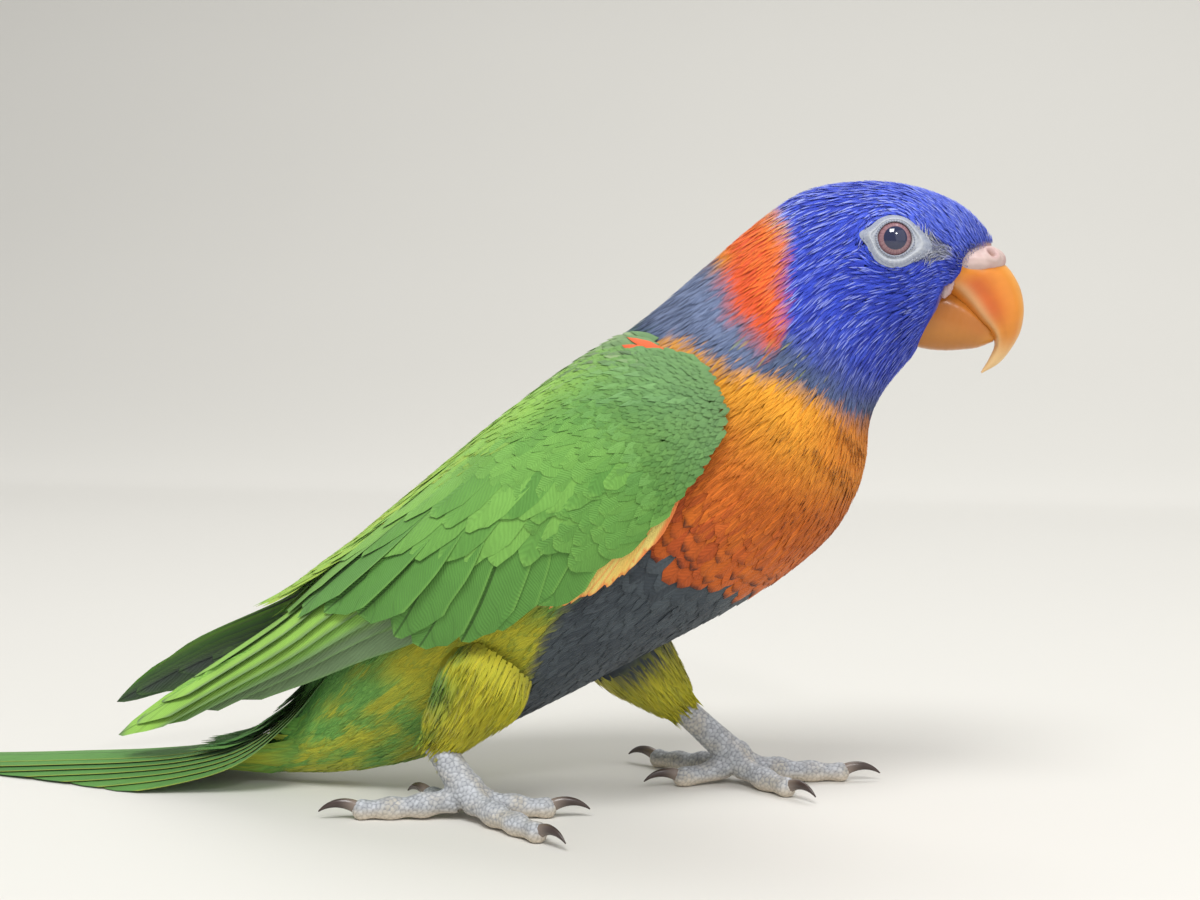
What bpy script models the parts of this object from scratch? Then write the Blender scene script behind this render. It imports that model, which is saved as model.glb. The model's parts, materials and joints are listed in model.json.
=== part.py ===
# A rainbow lorikeet of the red-collared form, life size, standing on the floor.
# The bird faces +X and its left side is +Y. Tables are in millimetres; the meshes are in metres.
# Run with: blender --background --python part.py
import math

import bmesh
import bpy
import numpy as np
from mathutils import Vector

MM = 0.001
GAP = 0.3  # between nodes that touch
SIDES = {"right": -1, "left": 1}
SHARP_DEGREES = 50
FLAT_DEGREES = 1.5
BEYOND = 400.0  # wider than the whole bird, for a block that cuts off all of one side

# Body form, from the face to the root of the tail. Each station is a cut across the body:
# its top point (x, z), its bottom point (x, z), its half width, and how high its widest place lies.
BODY_STATIONS = {
    "face": ((112.2, 118.4), (104.2, 103.8), 5.6, 0.00),
    "forehead": ((109.8, 122.3), (101.6, 100.4), 8.2, 0.03),
    "lores": ((105.4, 125.9), (99.0, 97.2), 10.8, 0.05),
    "eyes": ((96.5, 129.9), (95.0, 92.6), 14.0, 0.05),
    "crown": ((86.0, 130.8), (91.6, 88.2), 15.6, 0.00),
    "ears": ((75.0, 128.9), (89.4, 84.0), 16.0, -0.05),
    "nape": ((65.4, 122.6), (88.3, 79.4), 16.4, -0.05),
    "collar": ((55.0, 113.8), (88.0, 73.8), 18.0, 0.00),
    "mantle": ((43.5, 104.2), (86.0, 66.5), 21.5, 0.05),
    "breast": ((30.0, 94.0), (81.2, 58.2), 24.5, 0.08),
    "back": ((14.4, 81.6), (71.0, 49.0), 26.0, 0.08),
    "flank": ((-0.6, 69.0), (57.0, 40.2), 25.0, 0.06),
    "belly": ((-13.2, 57.6), (41.0, 31.2), 22.5, 0.04),
    "loin": ((-22.4, 47.6), (24.0, 21.8), 19.0, 0.00),
    "rump": ((-28.6, 37.6), (7.0, 13.0), 15.0, 0.00),
    "vent": ((-32.6, 28.4), (-9.0, 6.5), 10.5, 0.00),
    "crissum": ((-36.4, 18.6), (-24.0, 3.2), 7.8, 0.00),
    "undertail": ((-43.0, 9.0), (-38.0, 2.2), 5.0, 0.00),
}
BODY_ORDER = list(BODY_STATIONS)
BODY_SIDES = 24
BODY_FULLNESS = 0.92  # 1 is an ellipse, and less is fuller at the flanks

# Nodes cut from the body form: first and last station, and rings between.
BODY_PARTS = {
    "head": ("face", "nape", 13),
    "neck": ("nape", "mantle", 5),
    "torso": ("mantle", "rump", 11),
    "rump": ("rump", "undertail", 7),
}

# Bill, in the same kind of stations.
UPPER_BILL = (
    ((106.0, 117.6), (98.5, 109.4), 6.0, 0.0),
    ((114.2, 114.6), (103.6, 108.0), 6.0, 0.0),
    ((117.9, 110.4), (106.6, 105.4), 5.6, 0.0),
    ((119.3, 105.4), (109.6, 102.4), 4.9, 0.0),
    ((118.8, 100.6), (112.6, 100.2), 3.7, 0.0),
    ((117.0, 96.8), (113.8, 97.8), 2.2, 0.0),
    ((114.6, 93.8), (112.8, 94.9), 1.1, 0.0),
    ((111.4, 91.8), (111.2, 92.1), 0.25, 0.0),
)
LOWER_BILL = (
    ((98.0, 109.5), (95.0, 98.2), 5.0, 0.0),
    ((103.4, 110.0), (99.6, 96.8), 5.2, 0.0),
    ((107.6, 107.8), (103.8, 96.4), 4.9, 0.0),
    ((110.6, 105.0), (107.4, 96.6), 4.2, 0.0),
    ((112.8, 102.4), (110.4, 97.0), 3.2, 0.0),
    ((114.2, 100.0), (113.5, 98.2), 1.6, 0.0),
)
BILL_SIDES = 14
BILL_RINGS = {"upper": 13, "lower": 8}
BILL_FULLNESS = 0.9
HEAD_SPAN = ("face", "nape", 13)  # the part of the body form that bill and cere are cut by

# Fleshy cere over the root of the upper bill, and the nostrils in it.
CERE = {"centre": (110.7, 0.0, 114.5), "radii": (5.6, 6.7, 3.5), "pitch": 12.0}
NOSTRIL = {"centre": (113.0, 4.9, 115.6), "look": (0.35, 1.0, 0.35), "radius": 0.85, "depth": 1.6}

# Eye: the ball, and the bare ring of lids that stands a little proud of the face.
EYE = {"place": (94.2, 118.6), "surface": 13.2, "forward": 13.0, "up": 6.0}
EYE_BALL = 4.2
EYE_OPENING = 3.35
LID_RING = 5.7
EYE_BULGE = 0.25
LID_PROUD = 0.7
LID_BEVEL = 0.9
LID_BEVEL_RISE = 0.1
LID_CREST = 0.2  # how far the ring's inner edge stands over its outer one
LID_LIP = 0.35
LID_INSIDE_DEGREES = (36, 24, 8, -8)
LID_SIDES = 18
SOCKET_DEPTH = 3.0

# The closed wings lie on one smooth form round an axis from the wing's bend to its tip.
# Row: distance along the axis, centre height, upper radius, half width, upper edge, lower edge in degrees.
WING_BEND = np.array([62.0, 87.0])
WING_TIP = np.array([-72.2, 15.9])
WING_FORM = np.array(
    [
        (0, 0.0, 20.0, 22.8, 68, 103),
        (10, -1.0, 24.0, 27.5, 50, 105),
        (25, -2.0, 24.8, 30.0, 26, 111),
        (45, -3.0, 22.8, 30.5, 18, 116),
        (63, -4.5, 20.6, 29.0, 13, 117),
        (80, -5.0, 17.6, 25.5, 10, 115),
        (95, -4.6, 14.0, 20.5, 9, 112),
        (110, -4.6, 9.8, 16.0, 10, 110),
        (130, -4.0, 6.6, 11.0, 16, 102),
        (160, -3.4, 2.8, 6.5, 24, 95),
    ]
)
LOWER_STRETCH = 1.7  # the flank below the widest line is flatter than the back above it
WING_RISE = {"right": 0.0, "left": 7.0}  # the left wing's tip lies over the right one's
WING_RISE_FROM = 84.0
WING_RISE_TO = 140.0
WING_REACH = {"right": 1.0, "left": 1.03}
WING_CORE_END = 80.0
WING_CORE_DEPTHS = (9.5, 9.5, 3.6)  # at its front, at half its length and at its end
WING_CORE_SUNK = 0.6
WING_CORE_ACROSS = (0.02, 0.94)  # where it starts and how far it reaches, as shares across the wing
WING_CORE_NOSE = 0.12  # the share of its length over which its front sinks in
WING_CORE_THIN = 0.35  # how much thinner it is at its edges
WING_CORE_ROWS = 10
WING_CORE_COLUMNS = 7

# Tiers of wing feathers, each from the lower edge up to the back, its roots and tips along three points.
# A point is (distance, share across), and share runs from 0 at the back to 1 at the lower edge.
# Lift is how high root and tip stand over the form, and stagger how much more each next one does.
TIERS = {
    "primaries": {
        "count": 7,
        "roots": ((44, 0.95), (60, 0.64), (70, 0.30)),
        "tips": ((134, 0.96), (157, 0.58), (140, 0.13)),
        "width": 12.0,
        "lift": (-2.6, -2.2),
        "stagger": 0.22,
        "depth": 0.65,
        "point": 0.82,
        "rows": 4,
    },
    "secondaries": {
        "count": 8,
        "roots": ((34, 0.86), (52, 0.55), (60, 0.08)),
        "tips": ((53, 0.99), (80, 0.90), (109, 0.11)),
        "width": 12.5,
        "lift": (-1.2, -0.6),
        "stagger": 0.07,
        "depth": 0.65,
        "point": 0.75,
        "rows": 4,
    },
    "greater_coverts": {
        "count": 7,
        "roots": ((18, 0.80), (38, 0.60), (58, 0.12)),
        "tips": ((36, 0.93), (62, 0.74), (88, 0.14)),
        "width": 11.8,
        "lift": (-0.9, 0.2),
        "stagger": 0.05,
        "depth": 2.2,
        "point": 0.5,
        "rows": 3,
    },
    "median_coverts": {
        "count": 6,
        "roots": ((10, 0.66), (24, 0.48), (42, 0.12)),
        "tips": ((27, 0.80), (46, 0.58), (66, 0.17)),
        "width": 11.0,
        "lift": (-0.7, 0.55),
        "stagger": 0.05,
        "depth": 2.2,
        "point": 0.5,
        "rows": 3,
    },
    "scapulars": {
        "count": 4,
        "roots": ((14, 0.16), (38, 0.06), (66, 0.05)),
        "tips": ((42, 0.12), (70, 0.07), (98, 0.06)),
        "width": 9.0,
        "lift": (-0.8, 0.9),
        "stagger": 0.0,
        "depth": 2.2,
        "point": 0.5,
        "rows": 3,
    },
}
VANE_BOW = 0.10  # how far an edge bends down, as a share of the half width
VANE_WAIST = 0.55  # a vane's width at its root, as a share of its full width
VANE_FULL_FROM = 0.45  # where along it the full width begins
VANE_TIP_LEAST = 0.12
VANE_ROLL = 0.11  # how far the lower edge stands over the next feather, and the upper one sinks

# Tail: a line in the middle plane that leaves the body as steeply as in life and levels out on the floor.
TAIL_LINE = (
    (-22.0, 36.0),
    (-30.0, 26.5),
    (-37.5, 17.6),
    (-47.0, 10.4),
    (-60.0, 6.6),
    (-75.0, 4.6),
    (-90.0, 3.4),
    (-105.0, 2.3),
    (-120.0, 1.4),
    (-135.0, 0.7),
)
TAIL_LENGTHS = (124.0, 112.0, 100.0, 88.0, 77.0, 67.0)  # central pair first
TAIL_ROOT = (6.0, 0.8)  # distance and place across of the central pair's roots
TAIL_ROOT_SPREAD = 0.9
TAIL_TIP_ACROSS = 1.6
TAIL_TIP_SPREAD = 2.5
TAIL_STEP = 0.5
TAIL_STEP_SHARE = 0.45  # one feather of a pair lies this share of a step lower than the other
TAIL_ARCH = 0.006
TAIL_WIDTH = 11.0
TAIL_THICKNESS = 0.6
TAIL_CORE = (4.0, 38.0)
TAIL_CORE_HALF = 7.5
TAIL_CORE_DEPTH = 6.0
TAIL_CORE_TAPER = 1.5
TAIL_COVERTS = ((8.0, 34.0, 5.5), (10.0, 40.0, 3.0), (12.0, 46.0, 0.0))  # root, tip, place across
TAIL_COVERT = {"width": 8.0, "lift": (-0.4, 0.9), "slope": 0.1, "depth": 1.6, "point": 0.6, "rows": 4}

# Legs. Each right toe: direction on the floor in degrees from straight ahead, inwards positive.
ANKLE = {"right": (1.5, -19.5, 14.5), "left": (46.0, 18.5, 17.0)}
HIP = {"right": (11.5, -14.5, 29.0), "left": (32.0, 13.0, 33.0)}
TOE_JOINT = {"right": (8.5, -22.0, 5.6), "left": (58.5, 20.0, 5.6)}
THIGH_RADII = (9.0, 9.0, 8.4, 7.4, 6.2, 5.3, 3.6)
THIGH_AT = (0, 0.2, 0.4, 0.6, 0.8, 0.93)  # where along the thigh its radii are, but for the last
THIGH_END = 1.2
THIGH_SIDES = 14
SHANK_RADII = (3.0, 3.0, 3.2, 3.5)
TOES = {
    "right": {"inner_front": 14, "outer_front": -38, "outer_back": -166, "inner_back": 142},
    "left": {"inner_front": 40, "outer_front": -14, "outer_back": -152, "inner_back": 150},
}
TOE_LENGTHS = {"inner_front": 15.0, "outer_front": 22.0, "outer_back": 20.0, "inner_back": 11.0}
TOE_RADIUS = 2.65
TOE_TIP_RADIUS = 2.0
TOE_SIDES = 9
TOE_START = 2.4  # how far from the joint a toe's line begins
TOE_END = 1.1
TOE_END_SHARES = (0.92, 0.55)
TOE_SWELL = 0.10
TOE_LIFT = 0.90  # height of a toe's line, as a share of its radius
TOE_ARCH = 1.6
HUB_RADIUS = 3.9
BALL_SIDES = (12, 8)
TOE_PADS = {"inner_front": 2, "outer_front": 3, "outer_back": 3, "inner_back": 1}
CLAW_LENGTH = 9.0
CLAW_RADIUS = 1.35
CLAW_TURN = 75.0
CLAW_TILT = 34.0
CLAW_ROWS = 5
CLAW_SIDES = 6
CLAW_TAPER = (0.84, 1.4)  # share of its radius that it loses to the tip, and how late
CLAW_ROOT = (0.6, 0.35)  # how far back and how far up in the toe's end it starts

COLOURS = {
    "blue": ((0.03, 0.05, 0.45), 0.55),
    "collar": ((0.75, 0.08, 0.02), 0.60),
    "orange": ((0.80, 0.22, 0.01), 0.60),
    "green": ((0.08, 0.35, 0.03), 0.50),
    "yellow": ((0.45, 0.42, 0.03), 0.60),
    "bill": ((0.85, 0.30, 0.02), 0.30),
    "flesh": ((0.70, 0.50, 0.48), 0.50),
    "skin": ((0.55, 0.56, 0.58), 0.60),
    "eye": ((0.02, 0.01, 0.01), 0.10),
    "foot": ((0.38, 0.40, 0.44), 0.65),
    "claw": ((0.05, 0.04, 0.04), 0.30),
}


def through(rows, at):
    """The values of rows at a station number, on a smooth line through the rows."""
    rows = np.asarray(rows, float)
    last = len(rows) - 1
    at = min(max(at, 0.0), float(last))
    i = min(int(at), last - 1)
    f = at - i
    before = rows[i - 1] if i else 2 * rows[0] - rows[1]
    after = rows[i + 2] if i + 2 <= last else 2 * rows[last] - rows[last - 1]
    a, b, c, d = before, rows[i], rows[i + 1], after
    slope = (c - a) * f
    bend = (2 * a - 5 * b + 4 * c - d) * f**2
    return 0.5 * (2 * b + slope + bend + (3 * b - a - 3 * c + d) * f**3)


def station_rows(stations):
    return [(*top, *bottom, half, high) for top, bottom, half, high in stations]


BODY_ROWS = station_rows(BODY_STATIONS.values())


def cut(rows, at, sides, grow=0.0, fullness=BODY_FULLNESS, push=0.0):
    """One closed ring of points across a form. push moves it along the form, towards its last station."""
    top_x, top_z, bottom_x, bottom_z, half, high = through(rows, at)
    middle = np.array([(top_x + bottom_x) / 2, 0, (top_z + bottom_z) / 2])
    upward = np.array([(top_x - bottom_x) / 2, 0, (top_z - bottom_z) / 2])
    reach = np.linalg.norm(upward)
    upward = upward / reach
    onward = np.array([-upward[2], 0, upward[0]])
    turn = 2 * math.pi * np.arange(sides) / sides
    rise = np.cos(turn) + high * np.sin(turn) ** 2
    side = np.sign(np.sin(turn)) * np.abs(np.sin(turn)) ** fullness
    ring = middle + np.outer(rise * (reach + grow), upward) + push * onward
    ring[:, 1] += side * (half + grow)
    return ring


def mesh_object(name, points, faces, colour=None):
    """A new mesh object from points in millimetres, with its faces pointing out."""
    mesh = bpy.data.meshes.new(name)
    mesh.from_pydata([tuple(p) for p in np.asarray(points) * MM], [], faces)
    shape = bmesh.new()
    shape.from_mesh(mesh)
    bmesh.ops.recalc_face_normals(shape, faces=shape.faces)
    shape.to_mesh(mesh)
    shape.free()
    obj = bpy.data.objects.new(name, mesh)
    PARTS.objects.link(obj)
    if colour:
        mesh.materials.append(MATERIALS[colour])
    return obj


def loft(name, rings, colour=None, round_ends=False):
    """A closed surface through rings of equal length, capped at both ends."""
    sides = len(rings[0])
    points = [p for ring in rings for p in ring]
    faces = []
    for i in range(len(rings) - 1):
        for j in range(sides):
            k = (j + 1) % sides
            faces.append((i * sides + j, i * sides + k, (i + 1) * sides + k, (i + 1) * sides + j))
    last = (len(rings) - 1) * sides
    if round_ends:
        for start, ring in ((0, rings[0]), (last, rings[-1])):
            points.append(np.mean(ring, axis=0))
            faces += [(start + j, start + (j + 1) % sides, len(points) - 1) for j in range(sides)]
    else:
        faces.append(tuple(range(sides)))
        faces.append(tuple(range(last, last + sides)))
    return mesh_object(name, points, faces, colour)


def swept(name, line, radii, sides, colour=None, flat=1.0):
    """A tube along a line of points, with its own radius at each. flat squashes it upwards."""
    line = np.asarray(line, float)
    along = np.gradient(line, axis=0)
    along /= np.linalg.norm(along, axis=1)[:, None]
    rings = []
    for centre, way, radius in zip(line, along, radii):
        side = np.cross(way, (0, 0, 1))
        side = side / np.linalg.norm(side) if np.linalg.norm(side) > 0.05 else np.array([0, 1, 0])
        up = np.cross(side, way)
        turn = 2 * math.pi * (np.arange(sides) + 0.5) / sides
        ring = centre + radius * (np.outer(np.cos(turn), side) + flat * np.outer(np.sin(turn), up))
        rings.append(ring)
    return loft(name, rings, colour, round_ends=True)


def apply_modifiers(obj):
    """Replaces an object's mesh by what its modifiers make of it."""
    graph = bpy.context.evaluated_depsgraph_get()
    made = bpy.data.meshes.new_from_object(obj.evaluated_get(graph))
    obj.modifiers.clear()
    obj.data = made


def keep_largest(obj):
    """Drops every closed surface but the largest, such as a sealed hollow or a loose scrap."""
    shape = bmesh.new()
    shape.from_mesh(obj.data)
    shape.faces.ensure_lookup_table()
    seen = set()
    groups = []
    for face in shape.faces:
        if face in seen:
            continue
        group, edge_of_search = [], [face]
        seen.add(face)
        while edge_of_search:
            current = edge_of_search.pop()
            group.append(current)
            for edge in current.edges:
                for near in edge.link_faces:
                    if near not in seen:
                        seen.add(near)
                        edge_of_search.append(near)
        groups.append(group)
    groups.sort(key=lambda group: sum(face.calc_area() for face in group))
    loose = [face for group in groups[:-1] for face in group]
    bmesh.ops.delete(shape, geom=loose, context="FACES")
    shape.to_mesh(obj.data)
    shape.free()


def combine(obj, others, operation, solver="EXACT"):
    """One Boolean of an object with a collection of others, which are then removed."""
    group = bpy.data.collections.new("pieces")
    bpy.context.scene.collection.children.link(group)
    for other in others:
        group.objects.link(other)
    boolean = obj.modifiers.new("combine", "BOOLEAN")
    boolean.operation = operation
    boolean.solver = solver
    boolean.operand_type = "COLLECTION"
    boolean.collection = group
    apply_modifiers(obj)
    for other in others:
        bpy.data.objects.remove(other)
    bpy.data.collections.remove(group)
    keep_largest(obj)


def shade(obj):
    obj.data.shade_smooth()
    obj.data.set_sharp_from_angle(angle=math.radians(SHARP_DEGREES))


def merge_flat(obj):
    """Joins faces that lie in nearly one plane, and splits what is left into triangles."""
    shape = bmesh.new()
    shape.from_mesh(obj.data)
    limit = math.radians(FLAT_DEGREES)
    bmesh.ops.dissolve_limit(shape, angle_limit=limit, verts=shape.verts, edges=shape.edges)
    bmesh.ops.triangulate(shape, faces=shape.faces)
    shape.to_mesh(obj.data)
    shape.free()


def body_copy(first, last, rings, grow=GAP):
    """The body form between two stations, grown by a gap, for cutting what lies on it."""
    first, last = BODY_ORDER.index(first), BODY_ORDER.index(last)
    cuts = [cut(BODY_ROWS, at, BODY_SIDES, grow) for at in np.linspace(first, last, rings)]
    cuts[0] = cut(BODY_ROWS, first, BODY_SIDES, grow, push=-grow)
    cuts[-1] = cut(BODY_ROWS, last, BODY_SIDES, grow, push=grow)
    return loft("cutter", cuts)


def body_rings(name):
    """The rings of one body node, held half a gap back from its neighbours."""
    first, last, count = BODY_PARTS[name]
    first, last = BODY_ORDER.index(first), BODY_ORDER.index(last)
    stations = np.linspace(first, last, count)
    rings = [cut(BODY_ROWS, at, BODY_SIDES) for at in stations]
    if first > 0:
        rings[0] = cut(BODY_ROWS, first, BODY_SIDES, push=GAP / 2)
    if last < len(BODY_ROWS) - 1:
        rings[-1] = cut(BODY_ROWS, last, BODY_SIDES, push=-GAP / 2)
    return rings


def eye_frame(side):
    """The eye's centre on the face, and the way it looks, for side +1 on the left and -1 on the right."""
    turn, rise = math.radians(EYE["forward"]), math.radians(EYE["up"])
    look = np.array([math.sin(turn), side * math.cos(turn) * math.cos(rise), math.sin(rise)])
    look /= np.linalg.norm(look)
    x, z = EYE["place"]
    return np.array([x, side * EYE["surface"], z]), look


def turn_to(obj, centre, look):
    """Places an object that was modelled round +Z, so that +Z looks along look."""
    obj.rotation_mode = "QUATERNION"
    obj.rotation_quaternion = Vector(look).to_track_quat("Z", "Y")
    obj.location = tuple(np.asarray(centre) * MM)


def link_as_part(obj, name, colour=None):
    """Moves a primitive from the scene's collection to the bird's, with its name and colour."""
    for owner in list(obj.users_collection):
        owner.objects.unlink(obj)
    PARTS.objects.link(obj)
    obj.name = obj.data.name = name
    if colour:
        obj.data.materials.append(MATERIALS[colour])
    return obj


def ball(name, radius, segments=14, rings=8, colour=None):
    bpy.ops.mesh.primitive_uv_sphere_add(segments=segments, ring_count=rings, radius=radius * MM)
    return link_as_part(bpy.context.object, name, colour)


def rod(name, radius, depth, sides=16, colour=None):
    bpy.ops.mesh.primitive_cylinder_add(vertices=sides, radius=radius * MM, depth=depth * MM)
    return link_as_part(bpy.context.object, name, colour)


def bake_place(obj):
    """Moves an object's place into its mesh."""
    bpy.context.view_layer.update()
    obj.data.transform(obj.matrix_world)
    obj.matrix_world.identity()
    return obj


def turned(name, profile, steps, colour):
    """A solid of revolution round Z. profile is a closed loop of (radius, height) in millimetres."""
    mesh = bpy.data.meshes.new(name)
    points = [(r * MM, 0, z * MM) for r, z in profile]
    loop = [(i, (i + 1) % len(points)) for i in range(len(points))]
    mesh.from_pydata(points, loop, [])
    obj = bpy.data.objects.new(name, mesh)
    PARTS.objects.link(obj)
    screw = obj.modifiers.new("turn", "SCREW")
    screw.steps = screw.render_steps = steps
    screw.use_merge_vertices = True
    screw.merge_threshold = 0.00001
    apply_modifiers(obj)
    shape = bmesh.new()
    shape.from_mesh(obj.data)
    bmesh.ops.remove_doubles(shape, verts=shape.verts, dist=0.000001)
    bmesh.ops.recalc_face_normals(shape, faces=shape.faces)
    shape.to_mesh(obj.data)
    shape.free()
    obj.data.materials.append(MATERIALS[colour])
    return obj


def make_eye(word):
    """The eyeball and the ring of lids round it. Returns the cutters that make their room in the head."""
    centre, look = eye_frame(SIDES[word])
    sunk = math.sqrt(EYE_BALL**2 - EYE_OPENING**2) - EYE_BULGE
    eye = ball(f"eye_{word}", EYE_BALL, colour="eye")
    turn_to(eye, centre - look * sunk, look)
    bake_place(eye)
    clear = EYE_BALL + GAP
    floor_of_lids = -SOCKET_DEPTH
    inside = []
    for degrees in LID_INSIDE_DEGREES:
        turn = math.radians(degrees)
        inside.append((clear * math.cos(turn), clear * math.sin(turn) - sunk))
    profile = [
        (LID_RING, floor_of_lids),
        (LID_RING, LID_BEVEL_RISE),
        (LID_RING - LID_BEVEL, LID_PROUD),
        (EYE_OPENING + LID_BEVEL, LID_PROUD + LID_CREST),
        (EYE_OPENING + LID_LIP, LID_PROUD - LID_BEVEL_RISE),
    ]
    profile += inside
    profile.append((inside[-1][0], floor_of_lids))
    lids = turned(f"lids_{word}", profile, LID_SIDES, "skin")
    turn_to(lids, centre, look)
    bake_place(lids)
    deep = SOCKET_DEPTH + GAP
    well = rod("well", LID_RING + GAP, 2 * deep, sides=20)
    turn_to(well, centre, look)
    bake_place(well)
    hollow = ball("hollow", clear)
    turn_to(hollow, centre - look * sunk, look)
    bake_place(hollow)
    return [well, hollow]


def make_head():
    """The head with its eyes, and the bill and cere that meet it."""
    head = loft("head", body_rings("head"), "blue")
    rooms = []
    for word in SIDES:
        rooms += make_eye(word)
    combine(head, rooms, "DIFFERENCE")
    shade(head)

    upper_rows, lower_rows = station_rows(UPPER_BILL), station_rows(LOWER_BILL)

    def bill(name, rows, count, grow, colour):
        stations = np.linspace(0, len(rows) - 1, count)
        rings = [cut(rows, at, BILL_SIDES, grow, BILL_FULLNESS) for at in stations]
        return loft(name, rings, colour, round_ends=True)

    upper = bill("bill_upper", upper_rows, BILL_RINGS["upper"], 0.0, "bill")
    combine(upper, [body_copy(*HEAD_SPAN)], "DIFFERENCE")
    lower = bill("bill_lower", lower_rows, BILL_RINGS["lower"], 0.0, "bill")
    cutters = [body_copy(*HEAD_SPAN), bill("cutter", upper_rows, BILL_RINGS["upper"], GAP, None)]
    combine(lower, cutters, "DIFFERENCE")

    cere = ball("cere", 1.0, 20, 12, "flesh")
    cere.scale = CERE["radii"]
    cere.rotation_euler = (0, math.radians(CERE["pitch"]), 0)
    cere.location = tuple(np.array(CERE["centre"]) * MM)
    bake_place(cere)
    cutters = [body_copy(*HEAD_SPAN), bill("cutter", upper_rows, BILL_RINGS["upper"], GAP, None)]
    combine(cere, cutters, "DIFFERENCE")
    pits = []
    for side in SIDES.values():
        mirror = np.array([1, side, 1])
        pit = rod("pit", NOSTRIL["radius"], 2 * NOSTRIL["depth"], 10)
        turn_to(pit, mirror * NOSTRIL["centre"], mirror * NOSTRIL["look"])
        pits.append(bake_place(pit))
    combine(cere, pits, "DIFFERENCE")
    for obj in (upper, lower, cere):
        shade(obj)


def ease(value, low, high):
    """0 below low, 1 above high, and a smooth step between."""
    f = min(max((value - low) / (high - low), 0.0), 1.0)
    return f * f * (3 - 2 * f)


def wing_point(distance, across, word):
    """A point of a closed wing's form. across runs from 0 at the back to 1 at the lower edge."""
    centre, upper, half, first, last = (
        np.interp(distance, WING_FORM[:, 0], WING_FORM[:, k]) for k in range(1, 6)
    )
    turn = math.radians(first + across * (last - first))
    reach = upper if turn < math.pi / 2 else upper * LOWER_STRETCH
    height = centre + reach * math.cos(turn)
    height += WING_RISE[word] * ease(distance, WING_RISE_FROM, WING_RISE_TO)
    axis = WING_TIP - WING_BEND
    axis = axis / np.linalg.norm(axis)
    x, z = WING_BEND + axis * distance * WING_REACH[word] + np.array([axis[1], -axis[0]]) * height
    return np.array([x, SIDES[word] * half * math.sin(turn), z])


def normal_of(surface, a, b):
    """The outward normal of a surface at (a, b), by small steps."""
    step_a, step_b = 0.5, 0.01
    along = surface(a + step_a, b) - surface(a - step_a, b)
    over = surface(a, b + step_b) - surface(a, b - step_b)
    normal = np.cross(over, along)
    return normal / np.linalg.norm(normal)


def slab(name, upper, lower, colour=None):
    """A closed plate between two grids of points, with both faces split into triangles alike."""
    upper, lower = np.asarray(upper), np.asarray(lower)
    rows, columns = upper.shape[:2]
    under = rows * columns
    faces = []

    def corner(i, j):
        return i * columns + j

    for i in range(rows - 1):
        for j in range(columns - 1):
            a, b, c, d = corner(i, j), corner(i, j + 1), corner(i + 1, j + 1), corner(i + 1, j)
            faces += [(a, b, c), (a, c, d)]
            faces += [(under + a, under + c, under + b), (under + a, under + d, under + c)]
    rim = [corner(0, j) for j in range(columns)]
    rim += [corner(i, columns - 1) for i in range(1, rows)]
    rim += [corner(rows - 1, j) for j in range(columns - 2, -1, -1)]
    rim += [corner(i, 0) for i in range(rows - 2, 0, -1)]
    for a, b in zip(rim, rim[1:] + rim[:1]):
        faces += [(a, under + a, under + b), (a, under + b, b)]
    return mesh_object(name, np.concatenate([upper.reshape(-1, 3), lower.reshape(-1, 3)]), faces, colour)


def vane(surface, root, tip, width, outward, lift, depth, point, rows, roll=0.0):
    """One feather as a closed plate on a surface. lift is its height at root and tip, depth its thickness,
    point where along it the tip begins to round off, and roll how much it leans over its neighbour."""
    shares = np.append(np.linspace(0, 1, rows)[:-1], [1 - 0.3 / rows, 1.0])
    centres, normals = [], []
    for f in shares:
        a = root[0] + f * (tip[0] - root[0])
        b = root[1] + f * (tip[1] - root[1])
        normal = normal_of(surface, a, b) * outward
        normals.append(normal)
        centres.append(surface(a, b) + normal * (lift[0] + f * (lift[1] - lift[0])))
    upper, lower = [], []
    for f, centre, normal, way in zip(shares, centres, normals, np.gradient(centres, axis=0)):
        side = np.cross(way, normal) * outward
        side /= np.linalg.norm(side)
        past = max(f - point, 0.0) / (1 - point)
        waist = VANE_WAIST + (1 - VANE_WAIST) * min(1.0, f / VANE_FULL_FROM)
        half = width / 2 * waist * max(math.sqrt(max(1 - past**2, 0.0)), VANE_TIP_LEAST)
        row = []
        for across in (-half, 0.0, half):
            row.append(centre + side * across + normal * (roll * across - VANE_BOW * abs(across)))
        upper.append(row)
        lower.append([p - normal * depth for p in row])
    return slab("vane", upper, lower)


def wing_core(word):
    """The wing's smooth forearm and shoulder, which the feathers grow from."""
    upper, lower = [], []
    for row in range(WING_CORE_ROWS):
        f = row / (WING_CORE_ROWS - 1)
        distance = f * WING_CORE_END
        depth = np.interp(f, (0.0, 0.5, 1.0), WING_CORE_DEPTHS)
        upper.append([])
        lower.append([])
        for column in range(WING_CORE_COLUMNS):
            g = column / (WING_CORE_COLUMNS - 1)
            across = WING_CORE_ACROSS[0] + WING_CORE_ACROSS[1] * g
            point = wing_point(distance, across, word)
            normal = normal_of(lambda a, b: wing_point(a, b, word), distance, across) * SIDES[word]
            edge = abs(2 * g - 1) ** 4
            drop = WING_CORE_SUNK * (1 + edge) + (1 - min(1.0, f / WING_CORE_NOSE)) ** 2
            upper[-1].append(point - normal * drop)
            lower[-1].append(point - normal * (drop + depth * (1 - WING_CORE_THIN * edge)))
    return slab(f"wing_{word}", upper, lower, "green")


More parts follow.
